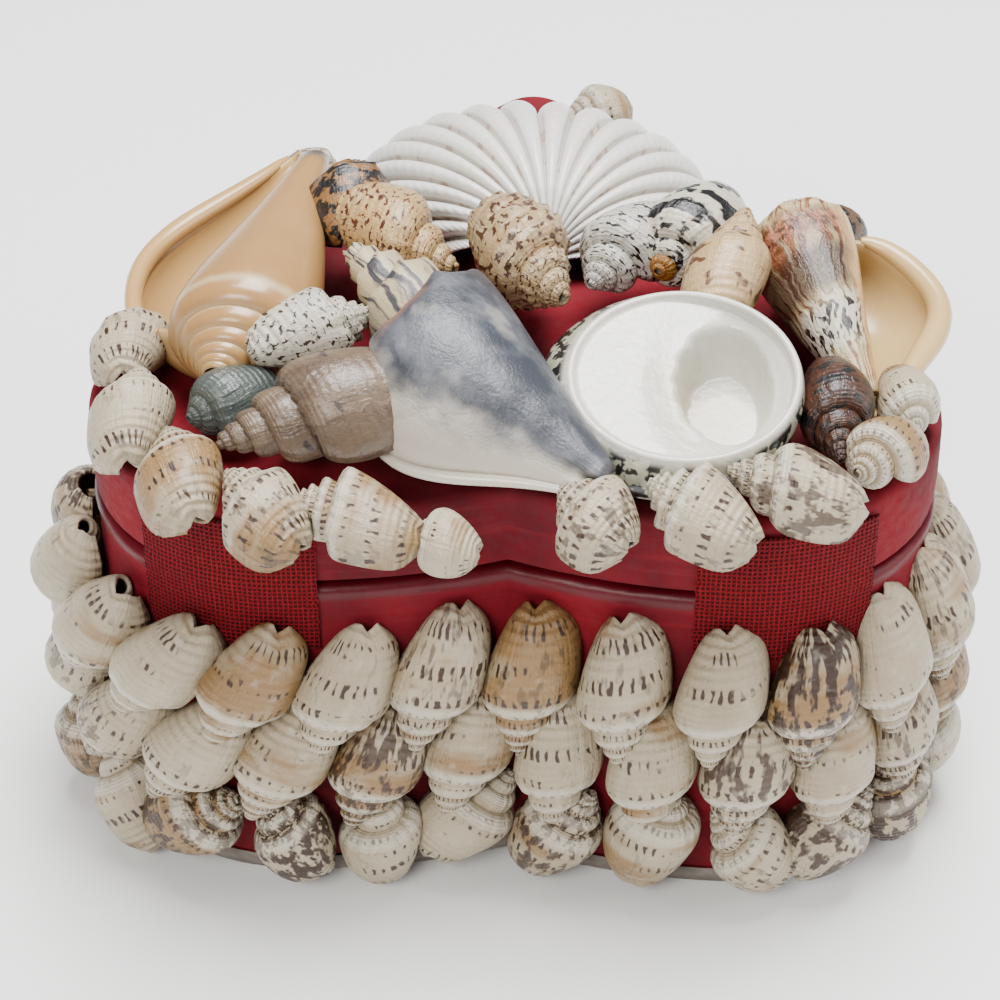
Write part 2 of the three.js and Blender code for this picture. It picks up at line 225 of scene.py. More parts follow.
# %% Heart outline
HEART = {"lobe_x": 27, "lobe_r": 23, "front_y": -47, "cleft_rise": 4.9, "flank_r": 300, "tip_y": 47,
         "tip_r": 5}
BOARD, SEAM_Z, SEAM_GAP, LID_TOP = 2.4, 45.0, 0.4, 56.0
LID_Z = SEAM_Z + SEAM_GAP


def heart_arcs(offset):
    lobe_x, lobe_r, tip_r = HEART["lobe_x"], HEART["lobe_r"], HEART["tip_r"]
    cleft_rise, flank_r = HEART["cleft_rise"], HEART["flank_r"]
    front_r = (lobe_x**2 + cleft_rise**2) / (2 * cleft_rise)
    front = Vector((lobe_x, HEART["front_y"] + front_r))
    lobe = Vector((lobe_x, HEART["front_y"] + lobe_r))
    tip = Vector((0, HEART["tip_y"] - tip_r))
    span = tip - lobe
    to_lobe, to_tip = flank_r - lobe_r, flank_r - tip_r
    along = (span.length_squared + to_lobe**2 - to_tip**2) / (2 * span.length)
    side = math.sqrt(to_lobe**2 - along**2)
    unit = span.normalized()
    flank = lobe + unit * along + Vector((-unit.y, unit.x)) * side
    join_lobe = math.atan2(lobe.y - flank.y, lobe.x - flank.x)
    join_tip = math.atan2(tip.y - flank.y, tip.x - flank.x)
    cleft = -math.pi / 2 - math.asin(lobe_x / (front_r + offset))
    return [
        (front, front_r + offset, cleft, -math.pi / 2, 9),
        (lobe, lobe_r + offset, -math.pi / 2, join_lobe, 24),
        (flank, flank_r + offset, join_lobe, join_tip, 16),
        (tip, tip_r + offset, join_tip, math.pi / 2, 8),
    ]


def heart_points(offset):
    half = []
    for centre, radius, start, end, steps in heart_arcs(offset):
        for i in range(1 if half else 0, steps + 1):
            angle = start + (end - start) * i / steps
            half.append(centre + Vector((math.cos(angle), math.sin(angle))) * radius)
    return half + [Vector((-p.x, p.y)) for p in half[-2:0:-1]]


def heart_walk(offset):
    """A function from a share of the way round to the spot there, the way along and the way out."""
    points = heart_points(offset)
    points.append(points[0])
    lengths = [0.0]
    for before, after in zip(points, points[1:]):
        lengths.append(lengths[-1] + (after - before).length)

    def at(share):
        goal = (share % 1.0) * lengths[-1]
        i = next(k for k in range(1, len(points)) if lengths[k] >= goal)
        along = (goal - lengths[i - 1]) / (lengths[i] - lengths[i - 1])
        tangent = (points[i] - points[i - 1]).normalized()
        return points[i - 1].lerp(points[i], along), tangent, Vector((tangent.y, -tangent.x))

    at.length = lengths[-1]
    return at


print("way round the heart:", round(heart_walk(0).length, 1), "mm")


# %% [markdown]
# ## The covered box and its lid
# On the real box, cloth is pulled over heart-shaped board and turned in at the edges, so the edges are
# soft. A ring of points is set on the outline, then extruded again and again, and each new ring is moved
# to its own distance and height: up the outside, over the rounded edge and down the lining. That gives
# one closed skin with rounded edges that a plain extrusion would not have.

# %% Loft rings on the heart outline
def heart_loft(name, rings, close=True):
    """Closed skin through rings of (distance outside the outline, height), both in mm."""
    count = len(heart_points(0))
    deselect()
    bpy.ops.mesh.primitive_circle_add(vertices=count, radius=0.05)
    obj = bpy.context.object
    obj.name = name
    obj.data.name = name
    bpy.ops.object.mode_set(mode="EDIT")
    for _ in rings[1:]:
        bpy.ops.mesh.extrude_region_move()
    bpy.ops.object.mode_set(mode="OBJECT")
    for level, (offset, z) in enumerate(rings):
        for i, p in enumerate(heart_points(offset)):
            obj.data.vertices[level * count + i].co = Vector((p.x, p.y, z)) * MM
    bpy.ops.object.mode_set(mode="EDIT")
    bpy.ops.mesh.select_all(action="SELECT")
    if close:
        bpy.ops.mesh.remove_doubles(threshold=1e-6)
    else:
        bpy.ops.mesh.fill_holes(sides=0)
    bpy.ops.mesh.select_all(action="SELECT")
    bpy.ops.mesh.normals_make_consistent(inside=False)
    bpy.ops.object.mode_set(mode="OBJECT")
    bpy.ops.object.shade_smooth_by_angle(angle=math.radians(50))
    return obj


def rounded(centre_offset, centre_z, radius, start, end, steps=4):
    """A quarter turn of ring positions about a corner; angles in degrees, 0 outwards and 90 up."""
    angles = [math.radians(start + (end - start) * i / steps) for i in range(steps + 1)]
    return [(centre_offset + radius * math.cos(a), centre_z + radius * math.sin(a)) for a in angles]


box_rings = [(0, BOARD), (0.05, 10), (0.05, 20), (0.05, 30), (0.0, 38), (-0.15, 41.5)]
box_rings += rounded(-0.9, SEAM_Z - 1.2, 1.15, 0, 90)
box_rings += rounded(-BOARD + 0.6, SEAM_Z - 0.65, 0.6, 90, 180)
box_rings += [(-BOARD, 30), (-BOARD, BOARD), (0, BOARD)]
box_cloth = heart_loft("box_cloth", box_rings)

lid_rings = [(-BOARD, LID_TOP - BOARD), (-BOARD, 50), (-BOARD, LID_Z + 0.7)]
lid_rings += rounded(-BOARD + 0.6, LID_Z + 0.6, 0.6, 180, 270)
lid_rings += rounded(-1.0, LID_Z + 1.0, 1.0, 270, 360)
lid_rings += [(0.1, 49.5), (0.05, 53)] + rounded(-1.2, LID_TOP - 1.2, 1.2, 0, 90) + [(-4.5, LID_TOP)]
lid_cloth = heart_loft("lid_cloth", lid_rings, close=False)
print("cloth faces:", len(box_cloth.data.polygons), len(lid_cloth.data.polygons))

# %% [markdown]
# The box stands on a heart of grey paper board. Its rim shows as a thin grey strip below the lowest
# shells. Its upper face is the floor of the box, and is lined with the same red cloth as the walls.

# %% Base board
base_rings = [(0.0, 0.0), (0.6, 0.5), (0.7, 1.6), (0.3, BOARD - 0.1), (-BOARD + 0.2, BOARD - 0.1)]
base = heart_loft("base", base_rings, close=False)
print("base:", [round(v / MM, 1) for v in base.dimensions])

# %% [markdown]
# ## Red cloth
# The cloth is a short velvet-like pile in deep crimson. Its colour is uneven where the pile lies over,
# brighter where it is rubbed. The roughness is high all over, but the turned-in edges are glossier because
# glue has soaked through them. One material does both: height picks the edge.

# %% Cloth material
GLOSSY_EDGE = {"from": 42.5, "full": 43.5, "until": 45.2, "end": 45.4}


def cloth_material():
    deep, bright = colour(0.036, 0.0008, 0.004), colour(0.17, 0.0035, 0.011)
    rubbed = colour(0.28, 0.014, 0.022)
    n = Nodes("red cloth")
    place = n.add("TexCoord", output=3)
    broad = n.noise(place, 42, 3, 0.6)
    pile = n.noise(place, 900, 3, 0.7)
    amount = n.plus(n.step(broad, 0.30, 0.72), n.times(pile, 0.45), clamp=True)
    tone = n.mix(amount, deep, bright)
    streaks = n.add("Mapping", Vector=place, Scale=(60, 60, 900))
    tone = n.mix(n.times(n.step(n.noise(streaks, 1.0, 2), 0.50, 0.75), 0.2), tone, rubbed)
    rough = n.add("MapRange", Value=pile, From_Min=0.3, From_Max=0.7, To_Min=0.72, To_Max=0.95)
    height = n.add("SeparateXYZ", output=2, Vector=place)
    above = n.step(height, GLOSSY_EDGE["from"] * MM, GLOSSY_EDGE["full"] * MM)
    edge = n.times(above, n.step(height, GLOSSY_EDGE["end"] * MM, GLOSSY_EDGE["until"] * MM))
    rough = n.add("Mix", output=0, _0=edge, _2=rough, _3=0.38)
    tone = n.mix(n.times(edge, 0.55), tone, deep)
    wrinkles = n.noise(n.add("Mapping", Vector=place, Scale=(110, 110, 260)), 1.0, 2, 0.5)
    relief = n.plus(n.times(wrinkles, 1.0), n.times(pile, 0.10))
    bump = n.add("Bump", Strength=0.55, Distance=0.0009, Height=relief)
    return n.finish(Base_Color=tone, Roughness=rough, Normal=bump, Specular_IOR_Level=0.25)


red_cloth = cloth_material()
for piece in (box_cloth, lid_cloth):
    piece.data.materials.append(red_cloth)


def board_material():
    n = Nodes("grey board")
    place = n.add("TexCoord", output=3)
    fibre = n.noise(n.add("Mapping", Vector=place, Scale=(160, 160, 500)), 1.0, 4, 0.6)
    tone = n.mix(n.step(fibre, 0.3, 0.7), colour(0.115, 0.098, 0.085), colour(0.235, 0.205, 0.18))
    bump = n.add("Bump", Strength=0.3, Distance=0.0003, Height=fibre)
    return n.finish(Base_Color=tone, Roughness=0.9, Normal=bump)


base.data.materials.append(board_material())
base.data.materials.append(red_cloth)
for face in base.data.polygons:
    if face.normal.z > 0.9:
        face.material_index = 1
for piece, node, body, slot in (
    (box_cloth, "box_wall", "box", "red_cloth"),
    (base, "base_board", "box", "grey_board"),
    (lid_cloth, "lid", "lid", "red_cloth"),
):
    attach(piece, body)
    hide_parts(node)
print("cloth and board are done")

# %% [markdown]
# ## The cloth hinge
# The only hinge is two strips of loosely woven red tape, one glued over the seam on each lobe. A strip is
# a sheet, so it starts as a plane cut into small squares, and every point is set on the outline of the
# lobe. It stands a little proud at the seam, where it is not glued down.

# %% Hinge tapes
TAPE = {"reach": 9.0, "width": 21.0, "middle": 32.5, "gap": 0.28, "thick": 0.3}


def hinge_tape(side):
    deselect()
    bpy.ops.mesh.primitive_grid_add(x_subdivisions=42, y_subdivisions=36, size=1.0)
    obj = bpy.context.object
    obj.name = obj.data.name = "hinge_cloth_right" if side > 0 else "hinge_cloth_left"
    walk = heart_walk(0)
    for vertex in obj.data.vertices:
        across, up = vertex.co.x, vertex.co.y
        fray = 0.35 * noise.noise(Vector((up * 31, side * 5, 0))) * smooth(0.40, 0.5, abs(across))
        spot, _, out = walk((TAPE["middle"] + across * TAPE["width"] + fray) / walk.length)
        proud = 0.16 * (1 - smooth(0.0, 0.12, abs(up)))
        proud += 0.06 * noise.noise(Vector((across * 9, up * 9, side)))
        spot = spot + out * (TAPE["gap"] + TAPE["thick"] / 2 + max(proud, 0.0))
        z = SEAM_Z + SEAM_GAP / 2 + 2 * up * TAPE["reach"]
        vertex.co = Vector((side * spot.x, spot.y, z)) * MM
    pick(obj)
    bpy.ops.object.mode_set(mode="EDIT")
    bpy.ops.mesh.select_all(action="SELECT")
    if side < 0:
        bpy.ops.mesh.flip_normals()
    bpy.ops.object.mode_set(mode="OBJECT")
    wall = obj.modifiers.new("thickness", "SOLIDIFY")
    wall.thickness = TAPE["thick"] * MM
    wall.offset = 0
    apply_modifiers(obj)
    bpy.ops.object.shade_smooth()
    return obj


def tape_material():
    n = Nodes("woven tape")
    uv = n.add("TexCoord", output=2)
    bent = n.add("Mix", output=1, settings={"data_type": "VECTOR"}, _0=0.012, _4=uv,
                 _5=n.add("TexNoise", output=1, Vector=uv, Scale=9.0, Detail=2.0))
    split = n.tree.nodes.new("ShaderNodeSeparateXYZ")
    n.tree.links.new(bent, split.inputs[0])
    warp = n.math("SINE", n.times(split.outputs[0], 38 * math.tau))
    weft = n.math("SINE", n.times(split.outputs[1], 30 * math.tau))
    threads = n.math("MAXIMUM", warp, n.times(weft, 0.8))
    loose = n.noise(n.add("Mapping", Vector=uv, Scale=(120, 26, 1)), 1.0, 2)
    height = n.plus(threads, n.times(loose, 1.2))
    tone = n.mix(n.step(height, -0.2, 1.6), colour(0.05, 0.001, 0.003), colour(0.24, 0.006, 0.012))
    bump = n.add("Bump", Strength=0.9, Distance=0.0005, Height=height)
    return n.finish(Base_Color=tone, Roughness=0.85, Normal=bump, Specular_IOR_Level=0.15)


tape_finish = tape_material()
for side, node in ((1, "hinge_tape_right"), (-1, "hinge_tape_left")):
    tape = hinge_tape(side)
    tape.data.materials.append(tape_finish)
    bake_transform(tape)
    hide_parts(node)
print("hinge tapes:", TAPE["width"], "by", 2 * TAPE["reach"], "mm")

# %% [markdown]
# ## How a coiled shell is made
# A sea snail's shell is one sheet that winds round an axis while it grows. So each shell here starts as a
# flat grid. Along the grid is the way round the coil; across it is the outline of one turn, from the seam
# with the turn before it to the mouth end. Every point is wound into place by one rule: each full turn
# makes the shell larger by the same factor. Thickness comes from Solidify. The grid's own UV map stays on
# the sheet, so colour bands and spots can follow the coil as they do on real shells.

# %% Wind a grid into a shell
def smooth_line(points, t):
    """A smooth curve through (t, a, b) points: the values of a and b at t."""
    i = max(k for k in range(len(points) - 1) if points[k][0] <= t or k == 0)
    p0, p1, p2 = points[max(i - 1, 0)], points[i], points[i + 1]
    p3 = points[min(i + 2, len(points) - 1)]
    f = (t - p1[0]) / (p2[0] - p1[0])
    values = []
    for k in (1, 2):
        m1 = (p2[k] - p0[k]) / max(p2[0] - p0[0], 1e-6) * (p2[0] - p1[0])
        m2 = (p3[k] - p1[k]) / max(p3[0] - p1[0], 1e-6) * (p2[0] - p1[0])
        a = 2 * p1[k] - 2 * p2[k] + m1 + m2
        b = -3 * p1[k] + 3 * p2[k] - 2 * m1 - m2
        values.append(((a * f + b) * f + m1) * f + p1[k])
    return values


COIL_TURNS = 4.3  # turns of a dove shell: what one length of a grid's U stands for in the coil materials
DOVE = {
    "growth": 1.65, "turns": COIL_TURNS, "steps": 22, "rows": 17, "thick": 0.022, "lip_at": 200,
    "line": [(0.0, 0.182, 0.37), (0.05, 0.226, 0.376), (0.11, 0.266, 0.398), (0.22, 0.314, 0.46),
             (0.34, 0.330, 0.535), (0.52, 0.300, 0.67), (0.72, 0.222, 0.82), (0.88, 0.138, 0.935),
             (1.0, 0.052, 1.0)],
    "reach": 0.30, "lip": 0.085, "lip_peak": 0.80, "notch": 0.085, "notch_at": -0.30, "flat": 0.84,
    "crimp": 0.010, "crimps": 17, "ribs": 0.0, "rib_count": 15, "knobs": 0.0, "knob_count": 9,
    "ground": -0.19,
}


def wound_point(kind, u, v):
    """Where the grid's (u, v) comes to lie, for a shell 1 long with the tip of its spire at the origin."""
    phase = (u - 1) * kind["turns"]
    size = kind["growth"] ** phase
    radius, height = smooth_line(kind["line"], v)
    late = smooth(kind.get("flare_from", -0.55), 0.0, phase)
    height *= size ** (1 + (kind["reach"] - 1) * smooth(0.25, 1.0, v))
    radius *= size
    spread = math.exp(-(((v - kind["lip_peak"]) / 0.30) ** 2))
    radius += kind["lip"] * late * spread
    turn_angle = math.tau * phase
    edge = math.exp(-((v / 0.10) ** 2))
    crimp = kind["crimp"] * edge * math.sin(kind["crimps"] * turn_angle)
    height += crimp * size
    radius += 0.6 * crimp * size
    body = smooth(0.03, 0.14, v) * (1 - smooth(0.45, 0.8, v))
    radius += kind["ribs"] * size * body * math.sin(kind["rib_count"] * turn_angle)
    shoulder = math.exp(-(((v - 0.13) / 0.09) ** 2))
    knob = max(math.sin(kind["knob_count"] * turn_angle), 0.0) ** 1.5
    radius += kind["knobs"] * size * shoulder * knob
    height -= 0.5 * kind["knobs"] * size * shoulder * knob
    if kind.get("beads"):
        row = 0.5 + 0.5 * math.cos(math.tau * kind["bead_rows"] * v)
        bead = 0.5 + 0.5 * math.cos(kind["bead_count"] * turn_angle)
        radius += kind["beads"] * size * smooth(0.02, 0.1, v) * (row * bead - 0.3)
    if v > 0.6:
        dip = math.exp(-(((phase - kind["notch_at"]) / 0.055) ** 2))
        height -= kind["notch"] * dip * smooth(0.80, 1.0, v)
        height -= kind.get("corner", 0.0) * smooth(-0.16, 0.0, phase) * smooth(0.75, 1.0, v)
    angle = math.radians(kind["lip_at"]) + turn_angle
    x, y = radius * math.cos(angle), radius * math.sin(angle) * kind["flat"]
    ground = kind["ground"]
    if y < ground:
        y = ground + 0.25 * (y - ground)
    return Vector((x, y, height))


STAND_INS = [bpy.data.materials.new("stand-in outside"), bpy.data.materials.new("stand-in inside")]


def wound_shell(name, kind):
    """A shell of unit length as an object, with hidden inner faces cut away and a real wall."""
    columns = round(kind["turns"] * kind["steps"])
    rows = kind["rows"]
    deselect()
    bpy.ops.mesh.primitive_grid_add(x_subdivisions=columns, y_subdivisions=rows, size=1.0)
    obj = bpy.context.object
    obj.name = obj.data.name = name
    mesh = obj.data
    across = {}
    for vertex in mesh.vertices:
        u, v = vertex.co.x + 0.5, (vertex.co.y + 0.5) ** 1.35
        across[vertex.index] = (u, v)
        vertex.co = wound_point(kind, u, v)
    hidden = kind.get("hidden", 0.44)

    def is_hidden(face):
        corners = [across[k] for k in face.vertices]
        early = max(c[0] for c in corners) < 1 - 1.12 / kind["turns"]
        return early and min(c[1] for c in corners) > hidden

    delete_faces(obj, is_hidden)
    for stand_in in STAND_INS:
        mesh.materials.append(stand_in)
    wall = obj.modifiers.new("wall", "SOLIDIFY")
    wall.thickness = kind["thick"]
    wall.material_offset = 1
    wall.offset = kind.get("offset", -1)
    wall.use_rim = True
    apply_modifiers(obj)
    bpy.ops.object.shade_smooth()
    return obj

# %% [markdown]
# ## Kinds of shell
# Most shells on the box are small dove shells. The rest differ in a few numbers only: how fast they grow,
# how high the spire is, and whether the shoulder carries ribs or knobs. So each kind is a changed copy of
# the first, is wound once, and every shell on the box is a copy of one of these, each with its own mesh.

# %% Kinds of small shell
DOVE_SLIM = {**DOVE, "growth": 1.55, "turns": 4.8, "lip": 0.07,
             "line": [(0.0, 0.19, 0.37), (0.05, 0.218, 0.38), (0.11, 0.246, 0.405), (0.22, 0.284, 0.465),
                      (0.34, 0.300, 0.545), (0.52, 0.276, 0.68), (0.72, 0.21, 0.83), (0.88, 0.13, 0.94),
                      (1.0, 0.074, 1.0)]}
DOVE_RIBBED = {**DOVE, "ribs": 0.011, "rib_count": 9}
KNOBBED = {**DOVE, "growth": 1.6, "knobs": 0.045, "knob_count": 7, "ribs": 0.006, "rib_count": 7,
           "line": [(0.0, 0.185, 0.34), (0.05, 0.222, 0.348), (0.11, 0.285, 0.378), (0.20, 0.335, 0.43),
                    (0.34, 0.335, 0.52), (0.52, 0.290, 0.665), (0.72, 0.21, 0.82), (0.88, 0.13, 0.935),
                    (1.0, 0.074, 1.0)]}
ROUND = {**DOVE, "growth": 1.85, "turns": 3.6, "lip": 0.05, "notch": 0.04, "flat": 0.95, "ground": -0.3,
         "line": [(0.0, 0.20, 0.20), (0.06, 0.26, 0.205), (0.14, 0.335, 0.25), (0.26, 0.395, 0.36),
                  (0.40, 0.405, 0.50), (0.58, 0.36, 0.66), (0.76, 0.27, 0.82), (0.90, 0.17, 0.94),
                  (1.0, 0.10, 1.0)]}
WHELK = {**DOVE, "growth": 1.52, "turns": 5.6, "steps": 30, "rows": 20, "lip": 0.03, "lip_peak": 0.5,
         "notch": 0.03, "flat": 0.92, "ground": -0.25,
         "line": [(0.0, 0.205, 0.40), (0.05, 0.232, 0.405), (0.12, 0.268, 0.43), (0.24, 0.305, 0.50),
                  (0.38, 0.315, 0.60), (0.56, 0.290, 0.73), (0.74, 0.24, 0.85), (0.88, 0.18, 0.94),
                  (1.0, 0.12, 1.0)]}
SMALL_KINDS = {"dove": DOVE, "slim": DOVE_SLIM, "ribbed": DOVE_RIBBED, "knobbed": KNOBBED, "round": ROUND}
FINE = {"crimp": 0.0, "steps": 22, "rows": 16, "notch": 0.05, "notch_at": -0.22, "corner": 0.05}
patterns = {}
for word, kind in SMALL_KINDS.items():
    patterns[word] = wound_shell("pattern_" + word, {**kind, **FINE})
patterns["whelk"] = wound_shell("pattern_whelk", WHELK)
print("shell kinds:", {word: len(p.data.polygons) for word, p in patterns.items()})

# %% [markdown]
# ## Dove shell finish
# The small shells are cream with a white band below the seam, two rows of brown dashes that follow the
# coil, and a golden stain on some. The grid's UV map already runs round the coil and across it, so the
# bands are plain ranges of V and the dashes repeat along U. Three numbers on each shell say how dark, how
# golden and how spotted it is, so one material does for all of them and none looks the same.

# %% Dove shell material
def shell_bump(n, along, across, strength=0.6, ribs=15.0, cords=9.0, size=0.0006):
    """Ribs across the coil near its shoulder, cords round it near the mouth end, and fine growth lines."""
    rib = n.math("COSINE", n.times(along, ribs * math.tau))
    rib = n.times(rib, n.step(across, 0.62, 0.30))
    cord = n.math("COSINE", n.times(across, cords * 2 * math.tau))
    cord = n.times(cord, n.plus(n.times(n.step(across, 0.6, 0.85), 0.5), 0.15))
    growth = n.noise(n.join(n.times(along, 64.0), n.times(across, 2.5)), 1.0, 3, 0.6)
    height = n.plus(n.times(rib, 0.24), n.times(cord, 0.5))
    height = n.plus(height, n.times(growth, 0.8))
    pits = n.noise(n.add("TexCoord", output=3), 2400, 2, 0.6)
    height = n.plus(height, n.times(pits, 0.45))
    return n.add("Bump", Strength=strength, Distance=size, Height=height)


def dove_material():
    n = Nodes("dove shell")
    uv = n.add("TexCoord", output=2)
    split = n.tree.nodes.new("ShaderNodeSeparateXYZ")
    n.tree.links.new(uv, split.inputs[0])
    look = n.tree.nodes.new("ShaderNodeSeparateXYZ")
    n.tree.links.new(n.add("Attribute", output=1, settings={"attribute_name": "look"}), look.inputs[0])
    seed = n.add("Attribute", output=2, settings={"attribute_name": "seed"})
    dark, gold, spots = look.outputs[0], look.outputs[1], look.outputs[2]
    along = n.plus(n.times(split.outputs[0], COIL_TURNS), seed)
    across = split.outputs[1]
    place = n.add("TexCoord", output=3)

    tone = n.mix(n.noise(place, 160, 3), colour(0.27, 0.205, 0.12), colour(0.47, 0.405, 0.295))
    stain = n.noise(n.join(n.times(along, 2.2), n.times(across, 3.0), seed), 1.0, 3)
    stain = n.step(stain, n.minus(0.70, n.times(gold, 0.45)), n.minus(0.84, n.times(gold, 0.36)))
    below = n.step(across, 0.30, 0.44)
    stain = n.times(stain, n.plus(n.times(below, 0.65), 0.35))
    tone = n.mix(stain, tone, colour(0.235, 0.135, 0.05))
    band = n.times(n.step(across, 0.10, 0.20), n.step(across, 0.40, 0.30))
    tone = n.mix(n.times(band, 0.75), tone, colour(0.54, 0.49, 0.40))

    wobble = n.times(n.minus(n.noise(place, 500, 1), 0.5), 0.035)
    turns = n.times(n.plus(along, wobble), 27 * math.tau)
    lane = n.math("COSINE", n.times(n.plus(across, wobble), 4.7 * math.tau))
    tick = n.math("COSINE", n.plus(turns, n.times(across, 9.0)))
    patchy = n.noise(n.join(n.times(along, 24.0), n.times(across, 9.0), seed), 1.0, 1)
    patchy = n.times(n.minus(0.56, patchy), 4.0)
    dashes = n.times(n.step(tick, patchy, n.plus(patchy, 0.6)), n.step(lane, 0.1, 0.6))
    where = n.noise(n.join(n.times(along, 3.2), n.times(across, 6.0), seed), 1.0, 2)
    where = n.step(where, n.minus(0.56, n.times(spots, 0.22)), n.minus(0.62, n.times(spots, 0.22)))
    dashes = n.times(dashes, where)
    flames = n.noise(n.join(n.times(along, 22.0), n.times(across, 5.0), seed), 1.0, 2, 0.65)
    flames = n.step(flames, n.minus(0.66, n.times(dark, 0.2)), n.minus(0.74, n.times(dark, 0.2)))
    marks = n.math("MAXIMUM", dashes, n.times(flames, dark), clamp=True)
    marks = n.times(marks, n.minus(1.0, n.times(band, 0.4)))
    tone = n.mix(marks, tone, colour(0.030, 0.010, 0.003))
    worn = n.step(n.noise(place, 420, 2), 0.60, 0.75)
    tone = n.mix(n.times(worn, 0.3), tone, colour(0.54, 0.48, 0.38))
    grain = n.noise(place, 700, 2)
    rough = n.add("MapRange", Value=grain, From_Min=0.3, From_Max=0.7, To_Min=0.34, To_Max=0.55)
    return n.finish(Base_Color=tone, Roughness=rough, Normal=shell_bump(n, along, across), Coat_Weight=0.12,
                    Coat_Roughness=0.25, Specular_IOR_Level=0.5)


def plain_shell(name, base, rough=0.3, scale=200):
    n = Nodes(name)
    place = n.add("TexCoord", output=3)
    cloudy = n.noise(place, scale, 3)
    lighter = colour(*[min(c * 1.25, 0.9) for c in base])
    bump = n.add("Bump", Strength=0.2, Distance=0.0003, Height=cloudy)
    tone = n.mix(cloudy, colour(*base), lighter)
    return n.finish(Base_Color=tone, Roughness=rough, Normal=bump, Coat_Weight=0.2, Coat_Roughness=0.2)


dove_finish = dove_material()
inside_finish = plain_shell("shell inside", (0.314, 0.248, 0.201), 0.3)
print("dove shell material:", len(dove_finish.node_tree.nodes), "nodes")


# %% [markdown]
# ## Setting shells in place
# A shell's place is given by the tip of its spire, its mouth end and the way its back faces. Those three
# make a turned frame, and the copy's mesh is moved by it, so the object itself stays at the origin.

# %% Place one shell
def frame_of(tip, mouth, back_way):
    axis = (mouth - tip).normalized()
    side = back_way.cross(axis).normalized()
    upward = axis.cross(side)
    turned = Matrix((side, upward, axis)).transposed().to_4x4()
    return Matrix.Translation(tip) @ turned


def natural_size(source):
    corners = [Vector(c) for c in source.bound_box]
    return [max(c[k] for c in corners) - min(c[k] for c in corners) for k in range(3)]


def set_shell(source, name, tip, mouth, back_way, width, depth, look=(0.3, 0.3, 0.4), seed=0.0, finish=None):
    """A copy of one kind, its own mesh moved to its place. Lengths and places in mm."""
    obj = bpy.data.objects.new(name, source.data.copy())
    bpy.context.scene.collection.objects.link(obj)
    obj.data.name = name
    wide, deep, high = natural_size(source)
    length = (mouth - tip).length
    size = Matrix.Diagonal((width / wide, depth / deep, length / high, 1.0))
    obj.data.transform(Matrix.Scale(MM, 4) @ frame_of(tip, mouth, back_way) @ size)
    count = len(obj.data.vertices)
    looks = obj.data.attributes.new("look", "FLOAT_VECTOR", "POINT")
    looks.data.foreach_set("vector", list(look) * count)
    seeds = obj.data.attributes.new("seed", "FLOAT", "POINT")
    seeds.data.foreach_set("value", [seed] * count)
    for slot, material in enumerate(finish or (dove_finish, inside_finish)):
        obj.data.materials[slot] = material
    return obj


def join(objects, name):
    deselect()
    for obj in objects:
        obj.select_set(True)
    bpy.context.view_layer.objects.active = objects[0]
    bpy.ops.object.join()
    joined = bpy.context.object
    joined.name = joined.data.name = name
    return joined


# %% [markdown]
# ## Shells on the wall
# Three rows go round the wall. In the two upper rows the notched mouth end points up and the spire hangs
# down over the row below; on the left half they slant. In the lowest row the spires point up and out. The
# shells near the hinge have their own looks; the others get theirs from a seeded random number, so the
# box comes out the same each time.

# %% Wall shells
WALL_ROWS = [
    {"name": "upper", "z": 31.4, "length": 20.0, "width": 11.2, "depth": 9.6, "phase": 0.2, "lean": 15},
    {"name": "middle", "z": 19.8, "length": 19.4, "width": 11.0, "depth": 9.2, "phase": 0.53, "lean": 13},
    {"name": "lower", "z": 9.6, "length": 15.6, "width": 10.8, "depth": 8.8, "phase": 0.68, "lean": 0},
]
ROW_COUNT = 29
SECTORS = 7
LOOKS = {
    "upper": {0: (0.5, 0.95, 0.7), 1: (0.4, 0.4, 1.0), 2: (0.0, 0.1, 0.25), 3: (1.0, 0.6, 1.0),
              4: (0.1, 0.35, 0.2), 5: (0.6, 0.4, 0.8), 28: (0.6, 0.5, 1.0), 27: (0.25, 0.1, 0.4),
              26: (0.1, 0.85, 0.3),
              25: (0.1, 0.35, 0.2), 24: (0.2, 0.3, 0.4), 23: (0.2, 0.3, 0.3)},
    "middle": {0: (0.2, 0.2, 0.3), 1: (0.0, 0.5, 0.1), 2: (0.9, 0.3, 1.0), 3: (0.1, 0.4, 0.3),
               28: (0.3, 0.5, 0.5), 27: (0.9, 0.6, 0.9), 26: (0.2, 0.5, 0.5), 25: (0.3, 0.1, 0.6)},
    "lower": {0: (0.9, 0.2, 1.0), 1: (0.3, 0.5, 0.4), 2: (0.5, 0.3, 0.8), 28: (0.0, 0.05, 0.05),
              27: (0.2, 0.05, 0.2), 26: (1.0, 0.2, 1.0)},
}


def wall_turn(row, share):
    if row["name"] == "lower":
        return 180 + 48 * wave(share * ROW_COUNT, 2.3)
    slant = smooth(0.5, 0.72, share) * (1 - 0.6 * smooth(0.92, 1, share))
    return 27 * slant + 5 * wave(share * ROW_COUNT, 1.7)


